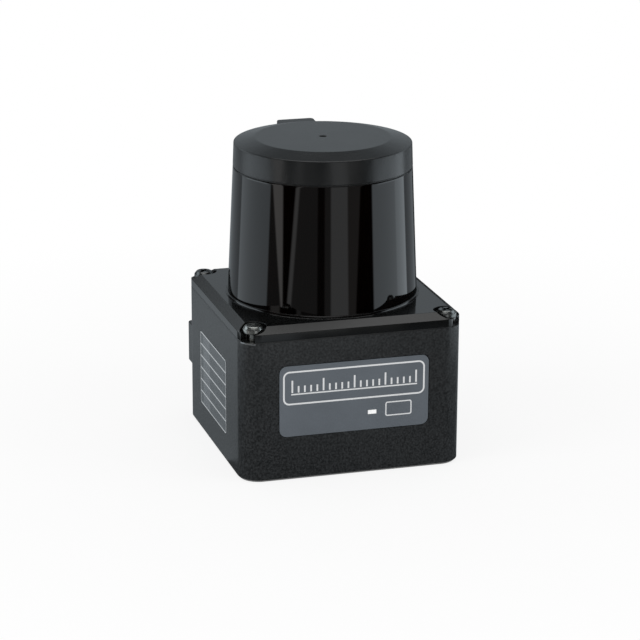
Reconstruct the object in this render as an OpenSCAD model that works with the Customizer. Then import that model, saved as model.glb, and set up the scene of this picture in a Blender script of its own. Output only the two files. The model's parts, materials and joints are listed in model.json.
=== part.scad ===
// Compact scanning range finder: a square case with a bevelled cover, a tapered dark window and a cap.
// Inside, a hollow motor turns a mirror tower over a fixed receiving lens.
// The origin is at the centre of the underside. The front faces -Y and +Z is up.

/* [Case] */
// Width of the case, left to right
body_w = 68; // [65:0.5:90]
// Depth of the case, front to back
body_d = 68; // [65:0.5:90]
// Height of the case up to its rim
case_h = 42.8; // [41:0.1:60]
// Radius of the four upright corners
corner_r = 6.4; // [4.5:0.1:8]
// Thickness of the walls
wall = 2.6; // [2.2:0.1:3.2]
// Thickness of the floor
floor_t = 3.5; // [3:0.1:4.5]
// Chamfer round the underside
foot_chamfer = 0.8; // [0.3:0.1:1.5]
// Radius of the corner bosses that take the cover screws
boss_r = 4.2; // [3.6:0.1:4.4]
// Depth of the threaded hole in each corner boss
boss_hole_depth = 9; // [6:0.5:14]
// Height of the board pillars above the floor
pillar_h = 3.5; // [3:0.1:5]
// Radius of the board pillars
pillar_r = 3.5; // [3:0.1:4]
// Distance of each board pillar inside its cover screw, along X and Y
pillar_step = 5.5; // [5.2:0.1:7]
// Spacing of the mounting holes in the underside, along X
mount_pitch_x = 40; // [30:1:42]
// Spacing of the mounting holes in the underside, along Y
mount_pitch_y = 40; // [30:1:42]
// Depth of the mounting holes
mount_depth = 4.5; // [3:0.5:5]
// Height of the bosses over the mounting holes
mount_boss_h = 2.5; // [2:0.1:3]

/* [Top cover] */
// Thickness of the rubber gasket under the cover
gasket_t = 0.4; // [0.3:0.1:1]
// Step of the gasket's edge inside the case wall
gasket_step = 0.3; // [0.1:0.1:0.6]
// Thickness of the cover
cover_t = 4; // [3.6:0.1:6]
// Width of the sloping edge, seen from above
bevel_w = 2.8; // [1.5:0.1:3]
// Height of the sloping edge
bevel_h = 1.75; // [1:0.05:2.2]
// Distance of each cover screw from the two sides of its corner
screw_inset = 4.4; // [4.2:0.1:6]
// Radius of the counterbore round each screw head
counterbore_r = 3.9; // [3.3:0.1:4.2]
// Thickness of the cover under each screw head
seat_t = 2.2; // [1.6:0.1:2.6]
// Radius of the open notch below each screw head
notch_r = 2.3; // [1.5:0.1:2.5]
// Distance of the notch outside the screw, along X and Y
notch_step = 2; // [1.8:0.1:2.6]
// Length of the locating ribs under the cover
rib_l = 28; // [10:1:34]
// Thickness of the locating ribs
rib_t = 1.2; // [0.8:0.1:1.6]
// Depth of the locating ribs
rib_h = 1.6; // [1:0.1:2.5]

/* [Window and cap] */
// Distance of the window's foot inside the narrower side of the case
window_inset = 5.3; // [4.5:0.1:8]
// Height of the window above the cover
window_h = 39; // [34:0.5:50]
// Draft of the window, from foot to top
window_draft = 1.75; // [0:0.05:3]
// Thickness of the window
window_t = 2; // [1.5:0.1:2.6]
// Depth of the window's foot in its groove
foot_depth = 0.8; // [0.5:0.1:1.2]
// Width of the bead round the window's foot
bead_w = 0.6; // [0.2:0.05:0.8]
// Height of the bead round the window's foot
bead_h = 0.7; // [0.3:0.05:1.2]
// Thickness of the sealing bead under the window
window_seal_t = 0.4; // [0.2:0.1:0.8]
// Width of the ledge inside the window's groove
ledge_w = 1.4; // [0.8:0.1:2]
// Thickness of the seal between window and cap
cap_seal_t = 0.3; // [0.2:0.05:0.6]
// Step of that seal inside the window's face
cap_seal_step = 0.35; // [0.1:0.05:0.6]
// Height of the cap above its seal
cap_h = 8.5; // [7:0.1:12]
// Draft of the cap's wall
cap_draft = 0.26; // [0:0.02:0.8]
// Width of the cap's sloping shoulder
shoulder_w = 6.34; // [2:0.1:10]
// Height of the cap's sloping shoulder
shoulder_h = 1.45; // [0.8:0.05:2]
// Thickness of the cap's roof
roof_t = 2.4; // [2:0.1:3.2]
// Thickness of the cap's spigot
spigot_t = 1.6; // [1.2:0.1:2]
// Depth of the cap's spigot in the window
spigot_h = 2.5; // [1:0.1:3.5]
// Radius of the dimple in the cap
dimple_r = 0.9; // [0.5:0.1:1.5]
// Depth of the dimple in the cap
dimple_depth = 0.5; // [0.2:0.1:1]
// Width of the spine behind the window
spine_w = 11.8; // [11:0.1:16]
// Radius of the spine's outer edges
spine_edge_r = 1.2; // [0.5:0.1:1.4]
// Wall of the spine outside the flat cable
spine_t = 1; // [0.8:0.1:1.4]
// Depth of the cable channel in the spine
channel_t = 0.7; // [0.5:0.05:1]
// Step of the spine's tab below the top of the cap
tab_drop = 1.8; // [1.6:0.1:2.4]

/* [Plates] */
// Width of the front plate
plate_w = 45.8; // [30:0.1:50]
// Height of the front plate
plate_h = 21.7; // [16:0.1:24]
// Height of the front plate's centre
plate_z = 24.4; // [20:0.1:26]
// Corner radius of the front plate
plate_r = 2.2; // [0.5:0.1:4]
// Thickness of the front plate
plate_t = 0.5; // [0.3:0.05:0.8]
// Depth of the plate's face below the case wall
plate_sink = 0.1; // [0:0.05:0.3]
// Place of the status light, to the right of the centre
light_x = 5.5; // [-15:0.1:15]
// Width of the status light
light_w = 2.6; // [1.5:0.1:5]
// Height of the status light
light_h = 1.2; // [0.8:0.1:2]
// Length of the side label
label_l = 31.4; // [20:0.1:40]
// Height of the side label
label_h = 23.3; // [15:0.1:28]
// Place of the side label's centre, along Y
label_y = 1.4; // [-5:0.1:5]
// Height of the side label's centre
label_z = 20.5; // [18:0.1:24]
// Thickness of the side label, flush in its recess
label_t = 0.2; // [0.1:0.05:0.4]

/* [Rear connectors] */
// Step of the block's ends inside the case's sides
block_inset = 1.2; // [0.5:0.1:4]
// Distance that the block stands out
block_depth = 5; // [4:0.1:8]
// Height of the block
block_h = 12.7; // [11:0.1:15]
// Distance of the block's underside below the sockets
block_drop = 1.2; // [0.8:0.1:2]
// Radius of the block's outer edges
block_edge_r = 1.5; // [0.5:0.1:3]
// Distance of the block's screws inside the case's sides
block_screw_inset = 8.8; // [8:0.1:9.4]
// Gap between the signal socket and the spacer beside it
io_gap = 0.9; // [0.6:0.1:2]
// Height of the signal socket
io_h = 6.6; // [6.2:0.1:6.7]
// Wall of the signal socket
io_t = 0.9; // [0.7:0.1:1]
// Length of the signal socket
io_l = 14.4; // [12:0.1:16]
// Contacts in each of the signal socket's two rows
io_columns = 6; // [2:1:6]
// Half the width of a contact
io_pin_r = 0.25; // [0.15:0.05:0.4]
// Length of the contacts in front of the socket's floor
io_pin_l = 5; // [3:0.5:6]
// Distance of the data socket's centre inside the board pillar, along X
usb_step = 11.1; // [9:0.1:11.4]
// Width of the data socket
usb_w = 8; // [7:0.1:9]
// Height of the data socket
usb_h = 4.2; // [3.6:0.1:5]
// Thickness of the data socket's shell
usb_t = 0.4; // [0.3:0.05:0.6]
// Length of the data socket
usb_l = 9.4; // [8:0.1:11]
// Width of the data socket's tongue
tongue_w = 5; // [3:0.1:5.5]
// Thickness of the data socket's tongue
tongue_t = 1; // [0.6:0.1:1.6]
// Step of both sockets inside the block's face
socket_step = 0.6; // [0.2:0.1:1.5]

/* [Boards] */
// Thickness of the two square boards
board_t = 1.6; // [1:0.1:2]
// Height of the spacers between the boards, shared out with the rest of the stack to fill the case
lower_standoff_h = 7; // [6:0.1:8]
// Height of the spacers under the optical frame
upper_standoff_h = 7; // [7:0.1:8]
// Length of the spacers' studs in what they screw into
stud_l = 3; // [2:0.1:3.5]
// Thickness of the round boards
small_board_t = 1.2; // [0.8:0.1:1.6]
// Width of the flat cable
flex_w = 8; // [6:0.1:8.4]
// Thickness of the flat cable
flex_t = 0.25; // [0.15:0.05:0.4]
// Bend radius of the flat cable
flex_bend_r = 1.5; // [1:0.1:2]

/* [Optics] */
// Thickness of the lens tube
tube_t = 1.5; // [1.2:0.1:2]
// Width of the lens's flat rim
lens_rim = 1.2; // [1:0.1:2]
// Thickness of the lens's rim
lens_rim_t = 1.5; // [1:0.1:2]
// Height of the lens's dome above its rim
lens_dome = 3.5; // [2:0.1:4]
// Height of the lens retainer
retainer_h = 1.2; // [0.8:0.1:1.6]
// Height of the receiving mirror's centre above the cover
receive_h = 12.3; // [11.5:0.1:14]
// Distance of the sending mirror's centre below the laser holder
emit_drop = 4; // [3.8:0.1:5]
// Width of the receiving mirror
receive_mirror_w = 26; // [16:0.5:28]
// Length of the receiving mirror, along its slope
receive_mirror_l = 20; // [14:0.5:21]
// Thickness of the receiving mirror
receive_mirror_t = 1.2; // [0.9:0.1:1.6]
// Side of the square sending mirror
emit_mirror_w = 7; // [4:0.1:7.5]
// Thickness of the sending mirror
emit_mirror_t = 0.9; // [0.7:0.1:1.2]
// Depth of both mirrors' recesses
mirror_sink = 0.6; // [0.3:0.05:0.65]
// Radius of the laser holder
holder_r = 4.6; // [4.2:0.1:5]
// Length of the laser holder
holder_l = 6.3; // [6:0.1:7]
// Radius of the laser's base
diode_r = 2.8; // [2.6:0.1:3]
// Height of the bosses that carry the laser board
laser_boss_h = 3.1; // [2.6:0.1:3.6]
// Distance of those bosses from the axis
laser_boss_ring = 15; // [11:0.5:18]

/* [Scanner drive] */
// Width of each bearing, along the axis
bearing_w = 4; // [3.5:0.1:5]
// Radius of the bearing balls
ball_r = 0.95; // [0.8:0.05:1.05]
// Number of balls in each bearing
ball_count = 12; // [6:1:18]
// Radial thickness of each bearing
bearing_t = 3.5; // [3.3:0.1:3.8]
// Wall of the rotor's hub
hub_t = 2; // [1.5:0.1:2.2]
// Thickness of the rotor's magnet
magnet_t = 2.4; // [1.8:0.1:2.6]
// Gap between magnet and stator
air_gap = 0.5; // [0.3:0.05:0.6]
// Height of the stator's core
stator_h = 6; // [4.5:0.1:7]
// Radial thickness of the stator, from its teeth to its outside
stator_t = 7.9; // [7:0.1:9]
// Thickness of the stator's back ring
yoke_t = 3.2; // [2.5:0.1:3.4]
// Number of stator teeth
tooth_count = 12; // [6:3:12]
// Width of each stator tooth
tooth_w = 2.4; // [1.6:0.1:3]
// Height of the windings above and below the core
coil_over = 1.9; // [1:0.1:2]
// Thickness of the windings beside each tooth
coil_t = 1.6; // [0.8:0.1:1.8]
// Thickness of the optical frame's plate
frame_t = 2.8; // [2:0.1:3.2]
// Thickness of the ring that holds the stator
ring_t = 1.9; // [1.5:0.1:2.2]
// Width of the ledge under the stator
ring_ledge = 1.4; // [1:0.1:1.8]
// Thickness of the encoder disc
disc_t = 0.5; // [0.3:0.05:0.8]
// Number of slots in the encoder disc
slot_count = 36; // [12:1:48]
// Length of the encoder disc's slots
slot_l = 2.2; // [1:0.1:2.6]
// Thickness of the rotor's flange
flange_t = 2.5; // [2:0.1:2.8]
// Thickness of the mirror tower's base
tower_base_t = 2; // [1.6:0.1:2.6]
// Clearance between the mirror tower and the window's top
tower_gap = 4.5; // [3:0.1:6]

/* [Fasteners] */
// Radius of the main screws' threads
thread_r = 1.5; // [1.2:0.05:1.6]
// Radius of the main screws' heads
head_r = 3.05; // [2.4:0.05:3.2]
// Height of the main screws' heads
head_h = 2.1; // [1.6:0.05:2.4]
// Length of the cover screws under the head
cover_screw_l = 8; // [5:0.5:10]
// Radius of the small screws' threads
small_thread_r = 0.8; // [0.6:0.05:0.9]
// Radius of the small screws' heads
small_head_r = 1.5; // [1.2:0.05:1.6]
// Height of the small screws' heads
small_head_h = 1; // [0.7:0.05:1.2]

/* [Hidden] */
$fn = 72;

// Clearances: a close fit, a loose fit, a thread, a screw's free hole and the bearings' running fit
fit_gap = 0.1;
loose_gap = 0.3;
thread_gap = 0.05;
pass_gap = 0.2;
running_gap = 0.05;
// Overrun of a cut past the face that it opens
cut = 1;

// Plan of the case, cover and screws
half_w = body_w / 2;
half_d = body_d / 2;
inner_half_w = half_w - wall;
inner_half_d = half_d - wall;
inner_corner_r = max(corner_r - wall, 1);
screw_x = half_w - screw_inset;
screw_y = half_d - screw_inset;
pillar_x = screw_x - pillar_step;
pillar_y = screw_y - pillar_step;
mount_boss_t = 1.9;
mount_boss_r = thread_r + mount_boss_t;
ear_r = pillar_step * sqrt(2) - boss_r - loose_gap;

// Heights that fill the case between its floor and cover, all in the same proportion
cover_z = case_h + gasket_t;
cover_top = cover_z + cover_t;
stator_lift = 2.5;
winding_gap = 0.4;
sensor_h = 4.9;
sensor_top_gap = 0.5;
stack_h = cover_z - floor_t - 2 * board_t - frame_t;
listed_stack_h = pillar_h + lower_standoff_h + upper_standoff_h + stator_lift + stator_h
  + coil_over + winding_gap + sensor_h + sensor_top_gap;
function rise(h) = h * stack_h / listed_stack_h;

// Levels, from the floor up
lower_gap = rise(lower_standoff_h);
upper_gap = rise(upper_standoff_h);
power_z = floor_t + rise(pillar_h);
power_top = power_z + board_t;
signal_z = power_top + lower_gap;
signal_top = signal_z + board_t;
frame_z = signal_top + upper_gap;
frame_top = frame_z + frame_t;
head_seat_z = cover_z + seat_t;
window_top = cover_top + window_h;
cap_z = window_top + cap_seal_t;
cap_top = cap_z + cap_h;
roof_z = cap_top - roof_t;
laser_board_top = roof_z - laser_boss_h;
laser_board_z = laser_board_top - small_board_t;
holder_z = laser_board_z - holder_l;

// Radii of the window and cap
window_r = min(half_w, half_d) - window_inset;
window_top_r = window_r - window_draft;
groove_in_r = window_r - window_t - fit_gap;
groove_out_r = window_r + fit_gap;
opening_r = groove_in_r - ledge_w;
bead_r = window_r + bead_w;
spigot_r = window_top_r - window_t - fit_gap;
spigot_in_r = spigot_r - spigot_t;
shoulder_r = window_top_r - cap_draft;
flat_top_r = shoulder_r - shoulder_w;

// Flat cable and the spine round it
flex_y = bead_r + fit_gap + channel_t / 2;
spine_y = bead_r + fit_gap + channel_t + spine_t;
channel_w = flex_w + 2 * loose_gap;
flex_socket_h = 2.5;
flex_socket_w = flex_w + 2;
flex_socket_l = 2.4;
flex_grip = 1.6;
laser_socket_h = 1.6;
laser_socket_l = 3.5;
laser_socket_step = 1.6;
flex_top_z = laser_board_top + laser_socket_h / 2;
laser_socket_y = spigot_in_r - loose_gap - laser_socket_l - laser_socket_step;

// Boards
board_gap = 0.8;
board_half_w = inner_half_w - board_gap;
board_half_d = inner_half_d - board_gap;
light_rise = 1.7;
light_z = signal_top + light_rise;
light_collar = 0.8;
led_w = 3.2;
led_d = 2;
led_h = 2.6;
plate_recess = plate_t + plate_sink;
label_r = 1;

// Parts on the boards
choke_w = 10;
choke_h = lower_gap * 0.64;
capacitor_r = 3.1;
capacitor_h = lower_gap * 0.77;
chip_l = 12;
chip_w = 9;
small_chip_w = 6;
chip_h = 1.5;

// Rear sockets
socket_end_y = half_d + block_depth - socket_step;
io_floor_t = 3.4;
io_flex_gap = 0.7;
io_left = ear_r + io_gap - pillar_x;
io_right = -flex_socket_w / 2 - io_flex_gap;
io_w = io_right - io_left;
io_x = (io_left + io_right) / 2;
io_pitch = (io_w - 2 * io_t) / io_columns;
io_top_h = rise(io_h);
io_mid_z = signal_top + io_top_h / 2;
usb_x = pillar_x - usb_step;
usb_mid_z = signal_top + usb_h / 2;
block_z = signal_top - block_drop;
block_mid_z = block_z + block_h / 2;
block_screw_x = half_w - block_screw_inset;
block_seat_t = 2.6;

// Scanner drive, radii from the case's inside inwards
ring_gap = 0.7;
ring_r = min(inner_half_w, inner_half_d) - ring_gap;
stator_r = ring_r - ring_t;
stator_in_r = stator_r - stator_t;
magnet_r = stator_in_r - air_gap;
hub_r = magnet_r - magnet_t;
hub_in_r = hub_r - hub_t;
tube_r = hub_in_r - bearing_t;
tube_in_r = tube_r - tube_t;
tube_shoulder = 1.1;
tube_shoulder_r = tube_r + tube_shoulder;
lens_r = tube_in_r - fit_gap;
disc_step = 3.9;
disc_r = stator_r - disc_step;

// Scanner drive, heights
tube_foot_h = 3.2;
bearing_lift = 1.6;
lower_bearing_z = frame_top + bearing_lift;
core_h = rise(stator_h);
winding_h = rise(coil_over);
fork_h = rise(sensor_h);
stator_z = frame_top + rise(stator_lift);
stator_top = stator_z + core_h;
ring_top = stator_top + winding_h + rise(winding_gap);
disc_lift = 2.2;
disc_z = ring_top + rise(disc_lift);
hub_drop = 0.4;
hub_z = lower_bearing_z - hub_drop;
flange_drop = 1.2;
flange_z = cover_top - flange_drop;
flange_top = flange_z + flange_t;
bearing_drop = 4.5;
upper_bearing_z = flange_top - bearing_drop - bearing_w;
nut_h = 1.6;
tube_drop = 1.5;
tube_top = flange_top - tube_drop;
magnet_over = 0.5;
lens_seat_z = tube_top - retainer_h - lens_rim_t;
ball_ring_r = tube_r + bearing_t / 2;
race_half = 0.6;
tooth_tip = 1;
coil_gap = 0.4;
coil_start = stator_in_r + tooth_tip + coil_gap;
disc_collar = 1.5;
slot_w = 1.2;
slot_rim = 0.8;
hub_lip = 0.8;
spacer_t = 0.9;
nut_t = 1.1;
sensor_w = 6;
sensor_reach = 3;
sensor_gap = 0.5;
receiver_hole_l = 4;
receiver_grip = 3;
receiver_base_r = 4.6;
receiver_base_t = 0.8;
receiver_can_r = 4.1;
receiver_can_h = 3;

// Laser unit
diode_lead_r = 0.25;
diode_lead_ring = 1.1;
diode_can_h = 2.4;
diode_base_t = 1.2;
diode_sink = 0.4;
diode_seat_z = laser_board_z - diode_base_t - diode_sink;
diode_step = 0.5;
collimator_r = diode_r - diode_step;
collimator_rim = 0.4;
collimator_t = 1;
collimator_dome = 0.5;
collimator_seat = 0.5;
holder_lip = 0.6;
holder_flange_t = 1.5;
holder_flange_w = 3;
holder_flange_r = holder_r + holder_flange_w;
laser_boss_t = 1;
laser_grip = 2.4;

// Mirror tower
receive_z = cover_top + receive_h;
emit_z = holder_z - emit_drop;
tower_r = window_top_r - window_t - tower_gap;
flange_w = 1.6;
flange_r = tower_r + flange_w;
tower_floor = flange_top + tower_base_t;
tower_top_gap = 1;
tower_top = holder_z - tower_top_gap;
tower_nose = 0.6;
pocket_wall = 3;
mirror_step = 1;
tower_screw_r = (hub_in_r + flange_r) / 2;

// Plain shapes

module at_corners(x, y) {
  for (sx = [-1, 1], sy = [-1, 1])
    translate([sx * x, sy * y, 0]) children();
}

module round_rect(w, d, r) {
  square([w - 2 * r, d], center = true);
  square([w, d - 2 * r], center = true);
  at_corners(w / 2 - r, d / 2 - r) circle(r);
}

// Prism on a rounded rectangle whose upper edge slopes in
module bevelled_slab(w, d, h, r, slope_w, slope_h) {
  edge_z = h - slope_h;
  at_corners(w / 2 - r, d / 2 - r)
    rotate_extrude() polygon([[0, 0], [r, 0], [r, edge_z], [r - slope_w, h], [0, h]]);
  bevelled_bar(w, d - 2 * r, h, slope_w, edge_z);
  rotate(90) bevelled_bar(d, w - 2 * r, h, slope_w, edge_z);
}

// Bar along Y whose two upper edges slope in
module bevelled_bar(w, l, h, slope_w, edge_z) {
  side = [[w / 2, 0], [w / 2, edge_z], [w / 2 - slope_w, h]];
  rotate([90, 0, 0])
    linear_extrude(l, center = true)
      polygon(concat(side, [for (i = [2:-1:0]) [-side[i][0], side[i][1]]]));
}

module tube(r_out, r_in, h) {
  difference() {
    cylinder(h = h, r = r_out);
    translate([0, 0, -cut]) cylinder(h = h + 2 * cut, r = r_in);
  }
}

module box(w, d, h) {
  translate([-w / 2, -d / 2, 0]) cube([w, d, h]);
}

// Pan-head screw, head up, with its seat at the origin
module screw(shank_r, shank_l, r, h) {
  edge = h * 0.5;
  slot_w = r * 0.26;
  slot_depth = h * 0.55;
  crown = [for (a = [0:18:90]) [r - edge + edge * cos(a), h - edge + edge * sin(a)]];
  difference() {
    rotate_extrude() polygon(concat([[0, 0], [r, 0]], crown, [[0, h]]));
    for (turn = [0, 90])
      translate([0, 0, h - slot_depth]) rotate(turn) box(r * 1.15, slot_w, h);
  }
  translate([0, 0, -shank_l]) cylinder(h = shank_l, r = shank_r);
}

// Flat disc with a domed top inside its rim
module lens(r, rim, rim_t, dome) {
  dome_r = r - rim;
  sphere_r = (dome_r * dome_r + dome * dome) / (2 * dome);
  cylinder(h = rim_t, r = r);
  intersection() {
    translate([0, 0, rim_t + dome - sphere_r]) sphere(sphere_r);
    cylinder(h = rim_t + dome, r = dome_r);
  }
}

module main_screw(length) {
  screw(thread_r - thread_gap, length, head_r, head_h);
}

module small_screw(length) {
  screw(small_thread_r - thread_gap, length, small_head_r, small_head_h);
}

// Shell

module case_plan() {
  round_rect(body_w, body_d, corner_r);
}

module cavity_plan() {
  difference() {
    round_rect(2 * inner_half_w, 2 * inner_half_d, inner_corner_r);
    at_corners(screw_x, screw_y) circle(boss_r);
  }
}

module plate_shape(w, h, r, depth) {
  rotate([90, 0, 0]) linear_extrude(depth) round_rect(w, h, r);
}

module lower_case() {
  color([0.16, 0.17, 0.17])
  difference() {
    union() {
      difference() {
        translate([0, 0, case_h]) mirror([0, 0, 1])
          bevelled_slab(body_w, body_d, case_h, corner_r, foot_chamfer, foot_chamfer);
        translate([0, 0, floor_t]) linear_extrude(case_h) cavity_plan();
      }
      at_corners(pillar_x, pillar_y) cylinder(h = power_z, r = pillar_r);
      at_corners(mount_pitch_x / 2, mount_pitch_y / 2)
        cylinder(h = floor_t + mount_boss_h, r = mount_boss_r);
    }
    at_corners(screw_x, screw_y)
      translate([0, 0, case_h - boss_hole_depth]) cylinder(h = boss_hole_depth + cut, r = thread_r);
    at_corners(pillar_x, pillar_y)
      translate([0, 0, power_z - stud_l - cut]) cylinder(h = stud_l + 2 * cut, r = thread_r);
    at_corners(mount_pitch_x / 2, mount_pitch_y / 2)
      translate([0, 0, -cut]) cylinder(h = mount_depth + cut, r = thread_r);
    front_cuts();
    rear_cuts(wall + cut);
    for (side = [-1, 1])
      translate([side * block_screw_x, half_d + cut, block_mid_z])
        rotate([90, 0, 0]) cylinder(h = wall + 2 * cut, r = thread_r);
    translate([label_t - half_w, label_y, label_z]) rotate([0, 0, -90])
      plate_shape(label_l + 2 * fit_gap, label_h + 2 * fit_gap, label_r, label_t + cut);
  }
}

// Recess of the front plate and the hole for the status light
module front_cuts() {
  translate([0, plate_recess - half_d, plate_z])
    plate_shape(plate_w + 4 * fit_gap, plate_h + 4 * fit_gap, plate_r + 2 * fit_gap, plate_recess + cut);
  translate([light_x, wall / 2 - half_d, light_z])
    cube([light_w + 2 * fit_gap, wall + 2 * cut, light_h + 2 * fit_gap], center = true);
}

// Holes for the two rear sockets, cut forwards from just behind the block
module rear_cuts(depth) {
  reach = block_depth + cut + depth;
  translate([io_x, half_d - depth + reach / 2, io_mid_z])
    cube([io_w + 2 * loose_gap, reach, io_top_h + 2 * loose_gap], center = true);
  translate([usb_x, half_d - depth + reach / 2, usb_mid_z])
    cube([usb_w + 2 * loose_gap, reach, usb_h + 2 * loose_gap], center = true);
}

// Open notches below the heads of the cover screws
module corner_notches(z, h) {
  at_corners(screw_x + notch_step, screw_y + notch_step)
    translate([0, 0, z]) cylinder(h = h, r = notch_r);
}

module case_gasket() {
  color([0.06, 0.06, 0.06])
  difference() {
    translate([0, 0, case_h])
      linear_extrude(gasket_t)
        difference() {
          round_rect(body_w - 2 * gasket_step, body_d - 2 * gasket_step, corner_r - gasket_step);
          cavity_plan();
        }
    at_corners(screw_x, screw_y)
      translate([0, 0, case_h - cut]) cylinder(h = gasket_t + 2 * cut, r = thread_r + pass_gap);
    corner_notches(case_h - cut, gasket_t + 2 * cut);
  }
}

module top_cover() {
  color([0.13, 0.14, 0.14])
  difference() {
    union() {
      translate([0, 0, cover_z]) bevelled_slab(body_w, body_d, cover_t, corner_r, bevel_w, bevel_h);
      locating_ribs(inner_half_w, 0);
      locating_ribs(inner_half_d, 90);
    }
    translate([0, 0, cover_z - cut]) cylinder(h = cover_t + 2 * cut, r = opening_r);
    translate([0, 0, cover_top - foot_depth - window_seal_t])
      tube(groove_out_r, groove_in_r, foot_depth + window_seal_t + cut);
    at_corners(screw_x, screw_y) {
      translate([0, 0, head_seat_z]) cylinder(h = cover_t, r = counterbore_r);
      translate([0, 0, cover_z - cut]) cylinder(h = cover_t, r = thread_r + pass_gap);
    }
    corner_notches(cover_z - cut, seat_t + cut);
    translate([0, flex_y, cover_z - rib_h - cut]) box(channel_w, channel_t, cover_t + rib_h + 2 * cut);
  }
}

module locating_ribs(half, turn) {
  rotate(turn)
    for (side = [-1, 1])
      translate([side * (half - loose_gap - rib_t / 2), 0, cover_z - rib_h]) box(rib_t, rib_l, rib_h);
}

module cover_screws() {
  color([0.62, 0.63, 0.65])
  at_corners(screw_x, screw_y)
    translate([0, 0, head_seat_z]) main_screw(cover_screw_l);
}

// Outer radius of the window at a height above the cover
function window_radius(h) = window_r - window_draft * h / window_h;

module optical_window() {
  color([0.03, 0.03, 0.035])
  rotate_extrude()
    polygon([
      [window_r - window_t, cover_top - foot_depth],
      [window_r, cover_top - foot_depth],
      [window_r, cover_top],
      [bead_r, cover_top],
      [bead_r, cover_top + bead_h * 0.6],
      [window_radius(bead_h), cover_top + bead_h],
      [window_top_r, window_top],
      [window_top_r - window_t, window_top],
      [window_r - window_t, cover_top]
    ]);
}

module window_seal() {
  color([0.08, 0.08, 0.08])
  translate([0, 0, cover_top - foot_depth - window_seal_t])
    tube(groove_out_r, groove_in_r, window_seal_t);
}

module cap_seal() {
  color([0.05, 0.05, 0.05])
  translate([0, 0, window_top])
    tube(window_top_r - cap_seal_step, spigot_r, cap_seal_t);
}

module top_cap() {
  color([0.2, 0.21, 0.22])
  difference() {
    union() {
      rotate_extrude()
        polygon([
          [spigot_in_r, cap_z - spigot_h],
          [spigot_r, cap_z - spigot_h],
          [spigot_r, cap_z],
          [window_top_r, cap_z],
          [shoulder_r, cap_top - shoulder_h],
          [flat_top_r, cap_top],
          [0, cap_top],
          [0, roof_z],
          [spigot_in_r, roof_z]
        ]);
      cap_tab();
      laser_bosses();
    }
    translate([0, 0, cap_top - dimple_depth]) cylinder(h = dimple_depth + cut, r = dimple_r);
    at_laser_bosses()
      translate([0, 0, laser_board_top - cut]) cylinder(h = laser_boss_h + cut, r = small_thread_r);
    cap_channel();
  }
}

// Tab at the back of the cap, over the spine
module cap_tab() {
  difference() {
    translate([0, 0, cap_z]) linear_extrude(cap_h - tab_drop) spine_plan();
    translate([0, 0, cap_z - cut]) cylinder(h = cap_h, r = spigot_in_r);
  }
}

module spine_plan() {
  edge_x = spine_w / 2 - spine_edge_r;
  inner_y = spigot_in_r - spine_edge_r;
  translate([-spine_w / 2, inner_y]) square([spine_w, spine_y - spine_edge_r - inner_y]);
  translate([-edge_x, inner_y]) square([2 * edge_x, spine_y - inner_y]);
  for (side = [-1, 1])
    translate([side * edge_x, spine_y - spine_edge_r]) circle(spine_edge_r);
}

// Way of the flat cable from the spine into the cap
module cap_channel() {
  bend = flex_bend_r + channel_t;
  slot_y = spigot_in_r - 2 * cut;
  top = flex_top_z + channel_t / 2;
  translate([0, flex_y, cap_z - cut]) box(channel_w, channel_t, top - cap_z + cut);
  translate([-channel_w / 2, flex_y + channel_t / 2 - bend, top - bend]) cube([channel_w, bend, bend]);
  translate([-channel_w / 2, slot_y, top - channel_t]) cube([channel_w, flex_y - slot_y, channel_t]);
}

module at_laser_bosses() {
  for (turn = [30, 150, 270])
    rotate(turn) translate([laser_boss_ring, 0, 0]) children();
}

module laser_bosses() {
  at_laser_bosses()
    translate([0, 0, laser_board_top])
      cylinder(h = laser_boss_h + roof_t / 2, r = small_head_r + laser_boss_t);
}

module rear_spine() {
  color([0.1, 0.1, 0.11])
  difference() {
    translate([0, 0, cover_top]) linear_extrude(cap_z - cover_top) spine_plan();
    translate([0, 0, cover_top - cut])
      cylinder(h = bead_h + fit_gap + cut, r = bead_r + fit_gap);
    translate([0, 0, cover_top])
      cylinder(h = window_h, r1 = window_r + fit_gap, r2 = window_top_r + fit_gap);
    translate([0, 0, window_top - cut]) cylinder(h = cap_seal_t + 2 * cut, r = window_top_r + fit_gap);
    translate([0, flex_y, cover_top - cut]) box(channel_w, channel_t, cap_z - cover_top + 2 * cut);
  }
}

module name_plate() {
  color([0.38, 0.39, 0.41])
  difference() {
    translate([0, plate_recess - half_d, plate_z]) plate_shape(plate_w, plate_h, plate_r, plate_t);
    translate([light_x, -half_d, light_z])
      cube([light_w + 2 * fit_gap, 2 * cut, light_h + 2 * fit_gap], center = true);
  }
}

module status_light_pipe() {
  color([0.95, 0.95, 0.95])
  translate([light_x, 0, light_z]) {
    translate([-light_w / 2, plate_sink - half_d, -light_h / 2])
      cube([light_w, half_d - plate_sink - inner_half_d + light_collar, light_h]);
    translate([-light_w / 2 - light_collar, -inner_half_d, -light_h / 2 - light_collar])
      cube([light_w + 2 * light_collar, light_collar, light_h + 2 * light_collar]);
  }
}

module side_label() {
  color([0.45, 0.46, 0.48])
  translate([label_t - half_w, label_y, label_z]) rotate([0, 0, -90])
    plate_shape(label_l, label_h, label_r, label_t);
}

// Rear connectors

module connector_block() {
  color([0.09, 0.09, 0.1])
  difference() {
    translate([0, 0, block_z]) linear_extrude(block_h) block_plan();
    rear_cuts(cut);
    for (side = [-1, 1])
      translate([side * block_screw_x, 0, block_mid_z]) rotate([-90, 0, 0]) {
        cylinder(h = half_d + block_depth + cut, r = thread_r + pass_gap);
        translate([0, 0, half_d + block_seat_t]) cylinder(h = block_depth, r = head_r + loose_gap);
      }
  }
}

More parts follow.
